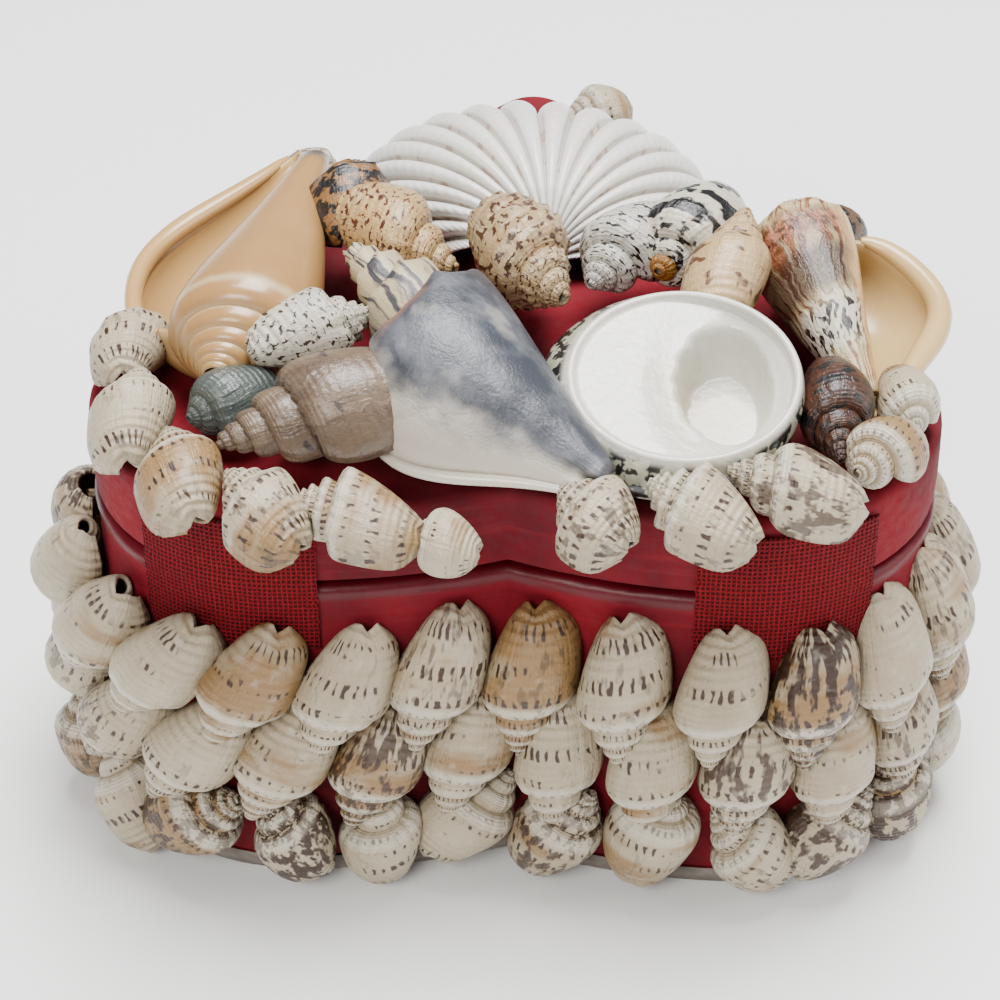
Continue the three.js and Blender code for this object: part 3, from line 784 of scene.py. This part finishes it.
luck = random.Random(7)
walk = heart_walk(3.2)
patches = [[] for _ in range(SECTORS)]
for row in WALL_ROWS:
    for i in range(ROW_COUNT):
        share = (i + row["phase"]) / ROW_COUNT
        spot, tangent, outward = walk(share)
        turned, lean = math.radians(wall_turn(row, share)), math.radians(row["lean"])
        out, sideways = Vector((*outward, 0)), Vector((*tangent, 0))
        upright = Vector((0, 0, 1)) * math.cos(turned) + sideways * math.sin(turned)
        axis = upright * math.cos(lean) - out * math.sin(lean)
        half = axis * row["length"] * (1 + 0.05 * wave(i, 1.3)) / 2
        at = Vector((*spot, row["z"] + 0.6 * wave(i, 2.1))) - out * (0.4 + out.x)
        chance = (luck.random() ** 1.6, luck.random(), luck.random(), luck.random(), luck.random())
        look = LOOKS[row["name"]].get(i, (chance[0], chance[1] * 0.9, chance[2]))
        kind = ("dove", "ribbed", "slim", "dove")[int(chance[3] * 4)]
        if row["name"] == "lower":
            kind = ("dove", "slim", "round")[int(chance[3] * 3)]
        shell = set_shell(patterns[kind], f"shell_{row['name']}_{i}", at - half, at + half, out,
                          row["width"] * (0.96 + 0.08 * chance[4]), row["depth"], look, 17 * chance[4])
        patches[min(int(share * SECTORS), SECTORS - 1)].append(shell)

for number, shells in enumerate(patches, start=1):
    patch = join(shells, f"wall_patch_{number:02d}")
    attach(patch, "box")
    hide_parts(f"wall_shells_{number:02d}")
    print(patch.name, len(shells), "shells,", len(patch.data.polygons), "faces")

# %% [markdown]
# ## Small shells on the lid
# The lid carries a ring of small shells along its edge and a loose heap of others behind the hinge side.
# Each is set where the frame has its solid.

# %% Rim shells
RIM = [
    ((-9.8, -53, 58.6), (-2.2, -55.8, 57.8), 7.5, 6.5, "round", (0.0, 0.2, 0.0)),
    ((-23.4, -51.0, 61.4), (-8.8, -54.6, 58.8), 10.5, 9, "knobbed", (0.4, 0.75, 0.9)),
    ((-31.2, -46.4, 61.4), (-21.2, -56.6, 58.2), 10.5, 9, "ribbed", (0.6, 0.55, 1.0)),
    ((-38.6, -38.4, 61.2), (-32.8, -52.8, 58.4), 10.5, 9, "dove", (0.3, 0.7, 0.5)),
    ((-43, -27.6, 61.8), (-41.6, -43.6, 58.8), 10, 9, "dove", (0.3, 0.2, 0.5)),
    ((-44.4, -14.4, 60.2), (-44.2, -29, 60.4), 9.5, 8.5, "ribbed", (0.4, 0.2, 0.9)),
    ((5.6, -47.4, 61.2), (14, -55, 58.6), 11, 9, "dove", (0.7, 0.2, 1.0)),
    ((15, -46.8, 61.8), (27.4, -54, 58.6), 11, 9, "knobbed", (0.5, 0.25, 0.9)),
    ((23.4, -45, 62.2), (39, -48.6, 59.8), 10.5, 9, "dove", (0.8, 0.1, 1.0)),
    ((38, -45, 61.4), (44, -35.6, 60.2), 8.6, 8, "dove", (0.3, 0.8, 0.8)),
    ((45.8, -34.5, 60), (43, -24.5, 60.4), 7.8, 7.5, "round", (0.2, 0.3, 0.5)),
    ((4.2, 35.2, 59.4), (12.4, 39.4, 58.4), 7.6, 6.8, "slim", (0.3, 0.4, 0.5)),
    ((-22.5, 14.5, 60.0), (-31.5, 19.2, 59.0), 8.4, 7.4, "ribbed", (0.5, 0.4, 0.8)),
]

for number, (tip, mouth, width, depth, kind, look) in enumerate(RIM, start=1):
    shell = set_shell(patterns[kind], f"rim_{number:02d}", Vector(tip), Vector(mouth), Vector((0, 0, 1)),
                      width, depth, look, number * 1.7)
    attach(shell, "lid")
    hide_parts(f"rim_shell_{number:02d}")
print("rim shells:", len(RIM))

# %% [markdown]
# ## Large coiled shells
# The conchs and whelks on the lid are wound by the same rule with a finer grid. A conch has a low spire,
# a square shoulder and a flared lip. Its lip is thick and rolled: that is a tube along the last edge of
# the coil, as thick as the roll and thinner at both ends.

# %% Kinds of large shell
CONCH = {**DOVE, "growth": 1.36, "turns": 6.0, "steps": 34, "rows": 30, "thick": 0.018, "lip": 0.19,
         "lip_peak": 0.5, "flare_from": -0.3, "notch": 0.05, "notch_at": -0.10, "flat": 0.86,
         "crimp": 0.0, "ground": -0.30, "reach": 0.25, "hidden": 0.5,
         "line": [(0.0, 0.236, 0.198), (0.05, 0.262, 0.201), (0.11, 0.296, 0.214), (0.18, 0.325, 0.247),
                  (0.27, 0.336, 0.32), (0.40, 0.308, 0.45), (0.56, 0.243, 0.61), (0.72, 0.172, 0.76),
                  (0.87, 0.108, 0.90), (1.0, 0.07, 1.0)]}
CONCH_KNOBBED = {**CONCH, "growth": 1.55, "turns": 5.0, "lip": 0.20, "lip_peak": 0.42, "flare_from": -0.4,
                 "knobs": 0.03, "knob_count": 6,
                 "line": [(0.0, 0.195, 0.40), (0.05, 0.222, 0.403), (0.11, 0.268, 0.415), (0.18, 0.308, 0.44),
                          (0.27, 0.318, 0.49), (0.40, 0.290, 0.585), (0.56, 0.232, 0.70), (0.72, 0.168, 0.81),
                          (0.87, 0.108, 0.915), (1.0, 0.066, 1.0)]}
CONCH_RIBBED = {**CONCH, "growth": 1.42, "turns": 5.5, "knobs": 0.012, "knob_count": 9, "ribs": 0.005,
                "rib_count": 9, "lip": 0.27}
NODULAR = {**DOVE, "growth": 1.6, "beads": 0.035, "bead_rows": 6, "bead_count": 13, "steps": 40, "rows": 30,
           "crimp": 0.0}
WHELK_FINE = {**WHELK, "steps": 36, "rows": 26, "growth": 1.55, "turns": 5.2, "ribs": 0.003, "rib_count": 19,
              "line": [(0.0, 0.215, 0.43), (0.05, 0.248, 0.434), (0.12, 0.295, 0.455), (0.24, 0.335, 0.52),
                       (0.38, 0.343, 0.62), (0.56, 0.316, 0.75), (0.74, 0.26, 0.87), (0.88, 0.19, 0.95),
                       (1.0, 0.12, 1.0)]}


def lip_tube(kind, name, start=0.06, end=0.95, thick=0.034, steps=26):
    """A rolled lip: a bevelled curve along the last edge of the coil, turned to mesh."""
    curve = bpy.data.curves.new(name, "CURVE")
    curve.dimensions = "3D"
    curve.bevel_depth = thick
    curve.bevel_resolution = 4
    curve.use_fill_caps = True
    line = curve.splines.new("POLY")
    line.points.add(steps)
    for i in range(steps + 1):
        share = i / steps
        at = wound_point(kind, 1.0, start + (end - start) * share)
        line.points[i].co = (*at, 1.0)
        line.points[i].radius = 0.25 + 0.85 * math.sin(math.pi * share) ** 0.6
    tube = bpy.data.objects.new(name, curve)
    bpy.context.scene.collection.objects.link(tube)
    pick(tube)
    bpy.ops.object.convert(target="MESH")
    bpy.ops.object.shade_smooth()
    return bpy.context.object


def with_lip(name, kind, **roll):
    """A wound shell joined to its rolled lip, which keeps the second material."""
    shell = wound_shell(name, kind)
    tube = lip_tube(kind, name + "_lip", **roll)
    for stand_in in STAND_INS:
        tube.data.materials.append(stand_in)
    for face in tube.data.polygons:
        face.material_index = 1
    return join([shell, tube], name)


patterns["conch"] = with_lip("pattern_conch", CONCH, thick=0.034)
patterns["conch_knobbed"] = with_lip("pattern_conch_knobbed", CONCH_KNOBBED, thick=0.022)
patterns["conch_ribbed"] = with_lip("pattern_conch_ribbed", CONCH_RIBBED, thick=0.05)
patterns["nodular"] = wound_shell("pattern_nodular", NODULAR)
patterns["whelk_fine"] = wound_shell("pattern_whelk_fine", WHELK_FINE)
print("large kinds:", {word: len(patterns[word].data.polygons) for word in list(patterns)[-5:]})

# %% [markdown]
# ## Finishes of the larger shells
# These have their own colours. Bands that go round with the coil are ranges of V, streaks that cross the
# coil are noise stretched along V, and blotches are plain noise with a sharp step. A small noise warps the
# coordinates first, which keeps the marks from looking ruled.

# %% Patterned shell materials
def coil_nodes(name):
    """A new material's nodes, with the coil's own coordinates: turns along, share across, and place."""
    n = Nodes(name)
    split = n.tree.nodes.new("ShaderNodeSeparateXYZ")
    n.tree.links.new(n.add("TexCoord", output=2), split.inputs[0])
    place = n.add("TexCoord", output=3)
    wobble = n.times(n.minus(n.noise(place, 240, 2), 0.5), 0.08)
    along = n.plus(n.times(split.outputs[0], COIL_TURNS), wobble)
    across = n.plus(split.outputs[1], n.times(wobble, 0.5))
    return n, along, across, place


def band(n, value, low, high, soft=0.04):
    return n.times(n.step(value, low - soft, low + soft), n.step(value, high + soft, high - soft))


def marked_shell(name, base, second, mark, counts, amount, rough=0.35, streaks=0.0, tip=None):
    """Two clouded base colours under marks. `counts` are marks along and across the coil."""
    n, along, across, place = coil_nodes(name)
    tone = n.mix(n.noise(place, 230, 3), colour(*base), colour(*second))
    growth = n.noise(n.join(n.times(along, 26.0), n.times(across, 1.6)), 1.0, 3, 0.6)
    tone = n.mix(n.times(n.step(growth, 0.45, 0.65), streaks), tone, colour(*mark))
    blots = n.noise(n.join(n.times(along, counts[0]), n.times(across, counts[1]), 3.0), 1.0, 2)
    tone = n.mix(n.step(blots, amount, amount + 0.05), tone, colour(*mark))
    if tip:
        tone = n.mix(n.step(n.math("DIVIDE", along, COIL_TURNS), 0.62, 0.5), tone, colour(*tip))
    return n.finish(Base_Color=tone, Roughness=rough, Coat_Weight=0.2, Coat_Roughness=0.15,
                    Normal=shell_bump(n, along, across, 0.5))


def conch_tan_material():
    n, along, across, place = coil_nodes("tan conch")
    tone = n.mix(n.noise(place, 60, 2), colour(0.26, 0.125, 0.035), colour(0.38, 0.205, 0.070))
    growth = n.noise(n.join(n.times(along, 22.0), n.times(across, 1.2), 0.0), 1.0, 3)
    tone = n.mix(n.times(growth, 0.4), tone, colour(0.44, 0.27, 0.11))
    tone = n.mix(n.times(band(n, across, 0.30, 0.34, 0.02), 0.75), tone, colour(0.50, 0.38, 0.22))
    tone = n.mix(n.times(band(n, across, 0.0, 0.13), 0.5), tone, colour(0.44, 0.31, 0.16))
    tone = n.mix(n.step(across, 0.93, 1.0), tone, colour(0.09, 0.075, 0.07))
    return n.finish(Base_Color=tone, Roughness=0.3, Coat_Weight=0.3, Coat_Roughness=0.15,
                    Normal=shell_bump(n, along, across, 0.06, 3.0, 2.0))


def conch_grey_material():
    n, along, across, place = coil_nodes("grey conch")
    slate, ash = colour(0.028, 0.032, 0.043), colour(0.115, 0.118, 0.135)
    tone = n.mix(n.step(n.noise(place, 150, 4, 0.65), 0.36, 0.66), slate, ash)
    growth = n.noise(n.join(n.times(along, 20.0), n.times(across, 1.4), 5.0), 1.0, 3, 0.6)
    tone = n.mix(n.times(n.step(growth, 0.5, 0.68), 0.6), tone, colour(0.018, 0.02, 0.028))
    pale = n.step(n.noise(place, 110, 3, 0.6), 0.55, 0.68)
    tone = n.mix(n.times(pale, 0.5), tone, colour(0.36, 0.33, 0.30))
    warm = n.times(band(n, across, 0.16, 0.30), n.step(n.noise(place, 90, 2), 0.48, 0.62))
    tone = n.mix(n.times(warm, 0.5), tone, colour(0.40, 0.17, 0.08))
    spire = n.step(n.math("DIVIDE", along, COIL_TURNS), 0.83, 0.76)
    cream = n.mix(n.step(growth, 0.50, 0.58), colour(0.44, 0.36, 0.21), colour(0.035, 0.03, 0.034))
    tone = n.mix(n.times(spire, 0.9), tone, cream)
    lip = n.times(n.step(n.math("DIVIDE", along, COIL_TURNS), 0.970, 0.988), n.step(across, 0.15, 0.3))
    tone = n.mix(n.times(lip, 0.9), tone, colour(0.56, 0.50, 0.42))
    tone = n.mix(n.step(across, 0.95, 1.0), tone, colour(0.04, 0.036, 0.04))
    return n.finish(Base_Color=tone, Roughness=0.42, Coat_Weight=0.12, Coat_Roughness=0.25,
                    Normal=shell_bump(n, along, across, 0.3, 6.0, 5.0))


def conch_netted_material():
    n, along, across, place = coil_nodes("netted conch")
    stripes = n.noise(n.join(n.times(along, 60.0), n.times(across, 3.0), 2.0), 1.0, 2)
    tone = n.mix(n.step(stripes, 0.48, 0.60), colour(0.477, 0.374, 0.194), colour(0.144, 0.042, 0.005))
    net = n.noise(n.join(n.times(along, 40.0), n.times(across, 26.0), 4.0), 1.0, 1)
    pinkish = n.mix(n.step(net, 0.46, 0.56), colour(0.269, 0.095, 0.054), colour(0.064, 0.015, 0.006))
    tone = n.mix(n.times(band(n, across, 0.34, 0.50, 0.06), 0.9), tone, pinkish)
    tone = n.mix(n.times(band(n, across, 0.52, 0.68), 0.85), tone, colour(0.019, 0.005, 0.005))
    speckle = n.mix(n.step(net, 0.50, 0.56), colour(0.464, 0.422, 0.343), colour(0.013, 0.005, 0.005))
    tone = n.mix(band(n, across, 0.70, 0.84), tone, speckle)
    way_round = n.math("DIVIDE", along, COIL_TURNS)
    callus = n.times(band(n, way_round, 0.80, 0.85, 0.008), n.step(across, 0.15, 0.3))
    tone = n.mix(callus, tone, colour(0.50, 0.30, 0.12))
    return n.finish(Base_Color=tone, Roughness=0.35, Coat_Weight=0.2, Coat_Roughness=0.2,
                    Normal=shell_bump(n, along, across, 0.7, 20.0, 7.0))


lip_cream = plain_shell("lip cream", (0.40, 0.235, 0.085), 0.24, 120)
lip_yellow = plain_shell("lip yellow", (0.46, 0.31, 0.13), 0.24, 120)
lip_white = plain_shell("lip white", (0.50, 0.46, 0.38), 0.26, 150)
SHELLS = {
    "conch_tan": conch_tan_material(),
    "conch_grey": conch_grey_material(),
    "conch_netted": conch_netted_material(),
    "whelk_grey": marked_shell(
        "grey whelk", (0.062, 0.035, 0.024), (0.201, 0.141, 0.087), (0.032, 0.017, 0.015),
        counts=(7, 5), amount=0.62, rough=0.35, streaks=0.45),
    "whelk_brown": marked_shell(
        "brown whelk", (0.023, 0.006, 0.005), (0.074, 0.025, 0.01), (0.005, 0.005, 0.005),
        counts=(16, 9), amount=0.52, rough=0.35, streaks=0.4),
    "dove_blue": marked_shell(
        "blue dove", (0.04, 0.05, 0.05), (0.076, 0.088, 0.076), (0.02, 0.027, 0.027),
        counts=(3, 3), amount=0.7, rough=0.2),
    "dove_dotted": marked_shell(
        "dotted dove", (0.429, 0.388, 0.311), (0.498, 0.466, 0.393), (0.025, 0.014, 0.01),
        counts=(30, 22), amount=0.56, rough=0.35),
    "dove_dark": marked_shell(
        "dark dove", (0.096, 0.028, 0.005), (0.29, 0.152, 0.05), (0.008, 0.005, 0.005),
        counts=(13, 9), amount=0.46),
    "dove_freckled": marked_shell(
        "freckled dove", (0.333, 0.164, 0.037), (0.479, 0.357, 0.179), (0.065, 0.014, 0.005),
        counts=(34, 24), amount=0.55),
    "nodular_tan": marked_shell(
        "nodular dove", (0.25, 0.13, 0.045), (0.50, 0.40, 0.24), (0.055, 0.022, 0.008),
        counts=(30, 14), amount=0.54),
    "dove_black_dots": marked_shell(
        "black-dotted dove", (0.409, 0.379, 0.33), (0.496, 0.474, 0.422), (0.005, 0.005, 0.005),
        counts=(22, 17), amount=0.55),
    "dove_zebra": marked_shell(
        "zebra dove", (0.449, 0.398, 0.291), (0.516, 0.484, 0.41), (0.005, 0.005, 0.005),
        counts=(8, 6), amount=0.50, rough=0.22, tip=(0.256, 0.104, 0.015)),
    "dove_spotted": marked_shell(
        "spotted dove", (0.34, 0.19, 0.07), (0.50, 0.38, 0.21), (0.10, 0.04, 0.012),
        counts=(9, 6), amount=0.56),
    "dove_behind": marked_shell(
        "back dove", (0.042, 0.013, 0.005), (0.145, 0.08, 0.037), (0.005, 0.005, 0.005),
        counts=(14, 9), amount=0.5),
}
print("lid shell materials:", len(SHELLS))

# %% [markdown]
# ## Coiled shells on the lid
# Each is a copy of a pattern, stretched to its own width and depth and laid where the frame has its solid.

# %% Lid shells
UP = (0, 0, 1)
LID_SHELLS = {
    "conch_tan": ("conch", (-34, -34.5, 64), (-26.5, 11.5, 66.5), 25, 16, (0.42, 0, -0.9)),
    "conch_grey": ("conch_knobbed", (-21.5, -11.5, 69.5), (11, -47.5, 62), 23, 15.5, UP),
    "conch_netted": ("conch_ribbed", (32, 2, 67.5), (41, -32, 61.5), 21.4, 13.5, (-0.55, 0.45, -0.7)),
    "whelk_grey": ("whelk_fine", (-33.5, -43.5, 62), (-9.5, -34, 65.5), 14, 12, UP),
    "whelk_brown": ("whelk", (37, -42, 60.6), (35.5, -26, 62.5), 9, 9, UP),
    "dove_blue": ("round", (-36.5, -38, 61.5), (-27, -30, 61.5), 8, 8, UP),
    "dove_dotted": ("knobbed", (-16, -23, 67), (-29.5, -31.5, 65.5), 10, 9, UP),
    "dove_dark": ("knobbed", (-21.5, 7, 69), (-19.5, -7, 66), 10, 9, UP),
    "dove_freckled": ("ribbed", (-6.5, -12, 65), (-23, -3.5, 67.5), 12, 11, UP),
    "nodular_tan": ("nodular", (6.4, -19, 65.5), (-5.8, -3.5, 67.5), 13, 12, UP),
    "dove_black_dots": ("dove", (8, -12.5, 63.5), (15.8, 0.5, 65.5), 11, 10, UP),
    "dove_zebra": ("round", (16.2, -11.2, 65), (24, 4.5, 66.5), 12, 11, UP),
    "dove_spotted": ("slim", (27, -5, 71.5), (23.4, -23.5, 64.5), 10, 9, UP),
    "dove_behind": ("dove", (39.5, 6, 62), (37, -5, 64), 9, 8, UP),
}
SLOTS = {"conch_tan": "tan_shell", "conch_netted": "tan_shell", "conch_grey": "grey_shell",
         "dove_blue": "grey_shell", "whelk_grey": "brown_shell", "whelk_brown": "brown_shell",
         "dove_dark": "brown_shell"}
LIPS = {"conch_tan": lip_cream, "conch_grey": lip_white, "conch_netted": lip_yellow}

for number, (name, (kind, tip, mouth, width, depth, back_way)) in enumerate(LID_SHELLS.items()):
    finish = (SHELLS[name], LIPS.get(name, inside_finish))
    shell = set_shell(patterns[kind], name + "_look", Vector(tip), Vector(mouth), Vector(back_way),
                      width, depth, seed=number * 2.3, finish=finish)
    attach(shell, "lid")
    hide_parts(name)
    SLOTS.get(name, "small_shell")
print("lid shells:", len(LID_SHELLS))

# %% [markdown]
# ## Nerite
# This shell lies mouth up: a thick cup with a flat white deck over its left half and a deep opening on
# the right. One grid makes all of it. Its rows go from the middle of the underside out to the rim, and
# then in again over the deck and down into the opening.

# %% Nerite
NERITE_AT, NERITE_TILT = (17.8, -34, 66.5), math.radians(16)
NERITE_WIDTH, NERITE_DEPTH, NERITE_HEIGHT = 30, 28, 11
# Shares of the grid's rows: the outside, and the rolled rim as a share of what is left. The rest is in mm,
# apart from the rim, a share of the widest reach, and the slope, in radians.
CUP = {"outside": 0.42, "roll": 0.12, "rim": 0.88, "slope": 2.25, "shift": 1.6, "bulge": 3.2, "pocket": 6.9}


def nerite_point(u, v, width, depth, height):
    """A spot on the cup, in mm, from its own rim level. The rim is narrower than the bulge below it."""
    angle = math.tau * u
    x_way, y_way = math.cos(angle), math.sin(angle)
    rim, shift, bulge = CUP["rim"], CUP["shift"], CUP["bulge"]
    if v < CUP["outside"]:
        slope = (v / CUP["outside"]) * CUP["slope"]
        if slope > math.pi / 2:
            share = (slope - math.pi / 2) / (CUP["slope"] - math.pi / 2)
            reach, low = 1 - (1 - rim) * share**1.6, -bulge * (1 - share)
            return Vector((reach * x_way * width / 2 + shift * share, reach * y_way * depth / 2, low))
        reach, low = math.sin(slope), -bulge - (height - bulge) * math.cos(slope)
        return Vector((reach * x_way * width / 2, reach * y_way * depth / 2, low))
    share = (v - CUP["outside"]) / (1 - CUP["outside"])
    if share < CUP["roll"]:
        roll = share / CUP["roll"] * math.pi
        reach = rim - 0.03 * (1 - math.cos(roll))
        return Vector((reach * x_way * width / 2 + shift, reach * y_way * depth / 2, 0.4 * math.sin(roll)))
    inner = rim - 0.06
    reach = inner * (1 - (share - CUP["roll"]) / (1 - CUP["roll"]))
    x = reach * x_way * width / 2 + shift + 4.0 * (1 - reach / inner)
    y = reach * y_way * depth / 2
    far = math.hypot((x - 6.2) / 5.6, (y - 0.2) / 8.4)
    teeth = 0.022 * math.sin(y * 2.1) if x < 4 else 0
    into = 1 - smooth(0.72 + teeth, 1.02 + teeth, far)
    deck = -0.25 - 0.8 * smooth(1.9, 1.0, far)
    outer = smooth(3, 9, x) * 1.2 * smooth(inner, 0.6, reach)
    return Vector((x, y, deck - outer * (1 - into) - CUP["pocket"] * into))


deselect()
bpy.ops.mesh.primitive_grid_add(x_subdivisions=96, y_subdivisions=90, size=1.0)
nerite = bpy.context.object
nerite.name = nerite.data.name = "nerite_look"
for vertex in nerite.data.vertices:
    u, v = vertex.co.x + 0.5, vertex.co.y + 0.5
    vertex.co = nerite_point(u, v, NERITE_WIDTH, NERITE_DEPTH, NERITE_HEIGHT)
bpy.ops.object.mode_set(mode="EDIT")
bpy.ops.mesh.select_all(action="SELECT")
bpy.ops.mesh.remove_doubles(threshold=0.001)
bpy.ops.mesh.normals_make_consistent(inside=False)
bpy.ops.object.mode_set(mode="OBJECT")
bpy.ops.object.shade_smooth()
tilt = Matrix.Rotation(NERITE_TILT, 4, "X")
nerite.data.transform(Matrix.Scale(MM, 4) @ Matrix.Translation(NERITE_AT) @ tilt)


def nerite_material():
    n = Nodes("nerite shell")
    split = n.tree.nodes.new("ShaderNodeSeparateXYZ")
    n.tree.links.new(n.add("TexCoord", output=2), split.inputs[0])
    place = n.add("TexCoord", output=3)
    row = split.outputs[1]
    outside = n.step(row, 0.425, 0.39)
    blots = n.noise(place, 620, 2, 0.6)
    green = n.mix(n.noise(place, 300, 2), colour(0.13, 0.137, 0.079), colour(0.513, 0.475, 0.383))
    skin = n.mix(n.step(blots, 0.46, 0.52), colour(0.006, 0.006, 0.006), green)
    pearl = n.mix(n.noise(place, 260, 4, 0.6), colour(0.513, 0.494, 0.401), colour(0.653, 0.642, 0.592))
    # Deep in the opening the pearl turns darker and yellower: painted shade in the pocket, over a yellower
    # tint of the shell itself.
    deep = n.step(row, 0.70, 0.92)
    pearl = n.mix(n.times(deep, 0.6), pearl, colour(0.457, 0.401, 0.248))
    warts = n.noise(place, 900, 2, 0.5)
    bump = n.add("Bump", Strength=0.35, Distance=0.0005, Height=warts)
    return n.finish(Base_Color=n.mix(outside, pearl, skin), Roughness=0.3, Normal=bump, Coat_Weight=0.4,
                    Coat_Roughness=0.12)


nerite.data.materials.append(nerite_material())
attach(nerite, "lid")
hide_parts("nerite")
print("nerite:", len(nerite.data.polygons), "faces")

# %% [markdown]
# ## Cockle valve
# One valve of a ribbed clam lies dome up at the back. Its ribs spread from the beak at the front like a
# fan and curl down over the far edge. The grid's X goes out from the beak and its Y goes round the fan;
# each point is lifted onto the dome and then pushed out where a rib passes.

# %% Cockle
COCKLE_AT, COCKLE_HALF, COCKLE_RISE = (0.5, 15.5, 57.0), (23.0, 16.2), 12.4
COCKLE_WALL = 0.9
BEAK = Vector((3.2, -0.4, 0))
COCKLE_RIBS = 19
FAN = math.radians(152)


def cockle_point(u, v):
    """A spot on the ribbed dome, in mm: u goes out from the beak and v goes round the fan."""
    way = FAN * (2 * v - 1)
    middle_x, middle_y, foot = COCKLE_AT
    half_x, half_y = COCKLE_HALF
    edge = Vector((middle_x + half_x * math.sin(way), middle_y + half_y * math.cos(way), 0))
    share = math.sin(u * math.pi / 2) ** 0.9
    spot = BEAK.lerp(edge, share)
    rib = abs(math.cos(COCKLE_RIBS * math.pi * v)) ** 0.55
    east, north = (spot.x - middle_x) / half_x, (spot.y - middle_y) / half_y
    inside = max(1 - east * east - north * north, 0.0)
    rise = COCKLE_RISE * math.sqrt(inside)
    normal = Vector((east / half_x, north / half_y, max(rise, 0.4) / COCKLE_RISE**2)).normalized()
    push = (rib - 0.8) * 2.3 * share**0.8
    return Vector((spot.x, spot.y, foot + rise)) + normal * push


deselect()
bpy.ops.mesh.primitive_grid_add(x_subdivisions=34, y_subdivisions=COCKLE_RIBS * 12, size=1.0)
cockle = bpy.context.object
cockle.name = cockle.data.name = "cockle_look"
for vertex in cockle.data.vertices:
    vertex.co = cockle_point(vertex.co.x + 0.5, vertex.co.y + 0.5)
cockle.data.transform(Matrix.Scale(MM, 4))
bpy.ops.object.mode_set(mode="EDIT")
bpy.ops.mesh.select_all(action="SELECT")
bpy.ops.mesh.remove_doubles(threshold=0.000002)
bpy.ops.mesh.normals_make_consistent(inside=False)
bpy.ops.object.mode_set(mode="OBJECT")
if sum(face.normal.z * face.area for face in cockle.data.polygons) < 0:
    cockle.data.flip_normals()
wall = cockle.modifiers.new("wall", "SOLIDIFY")
wall.thickness = COCKLE_WALL * MM
wall.offset = -1
apply_modifiers(cockle)
bpy.ops.object.shade_smooth()


def cockle_material():
    n = Nodes("cockle shell")
    split = n.tree.nodes.new("ShaderNodeSeparateXYZ")
    n.tree.links.new(n.add("TexCoord", output=2), split.inputs[0])
    place = n.add("TexCoord", output=3)
    ridge = n.math("ABSOLUTE", n.math("COSINE", n.times(split.outputs[1], COCKLE_RIBS * math.pi)))
    gap = n.step(ridge, 0.55, 0.25)
    white = n.mix(n.noise(place, 180, 3), colour(0.592, 0.572, 0.513), colour(0.673, 0.663, 0.632))
    dull = n.mix(n.noise(place, 90, 2), colour(0.331, 0.256, 0.232), colour(0.42, 0.383, 0.331))
    flecks = n.join(n.times(split.outputs[0], 26.0), n.times(split.outputs[1], 19.0))
    dashes = n.times(gap, n.step(n.noise(flecks, 1.0, 1), 0.58, 0.66))
    tone = n.mix(n.times(gap, 0.75), white, dull)
    tone = n.mix(n.times(dashes, 0.5), tone, colour(0.201, 0.091, 0.036))
    growth = n.math("SINE", n.times(split.outputs[0], 150.0))
    height = n.plus(n.times(growth, 0.3), n.noise(place, 900, 2))
    bump = n.add("Bump", Strength=0.25, Distance=0.0003, Height=height)
    return n.finish(Base_Color=tone, Roughness=0.35, Normal=bump, Coat_Weight=0.25, Coat_Roughness=0.2,
                    Subsurface_Weight=0.12, Subsurface_Radius=(0.001, 0.0008, 0.0006), Subsurface_Scale=1.0)


cockle.data.materials.append(cockle_material())
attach(cockle, "lid")
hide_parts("cockle")
print("cockle:", len(cockle.data.polygons), "faces")

# %% [markdown]
# ## Finish
# The last cell removes the pattern shells that the copies were made from.

# %% Remove the patterns
for pattern in patterns.values():
    bpy.data.objects.remove(pattern)
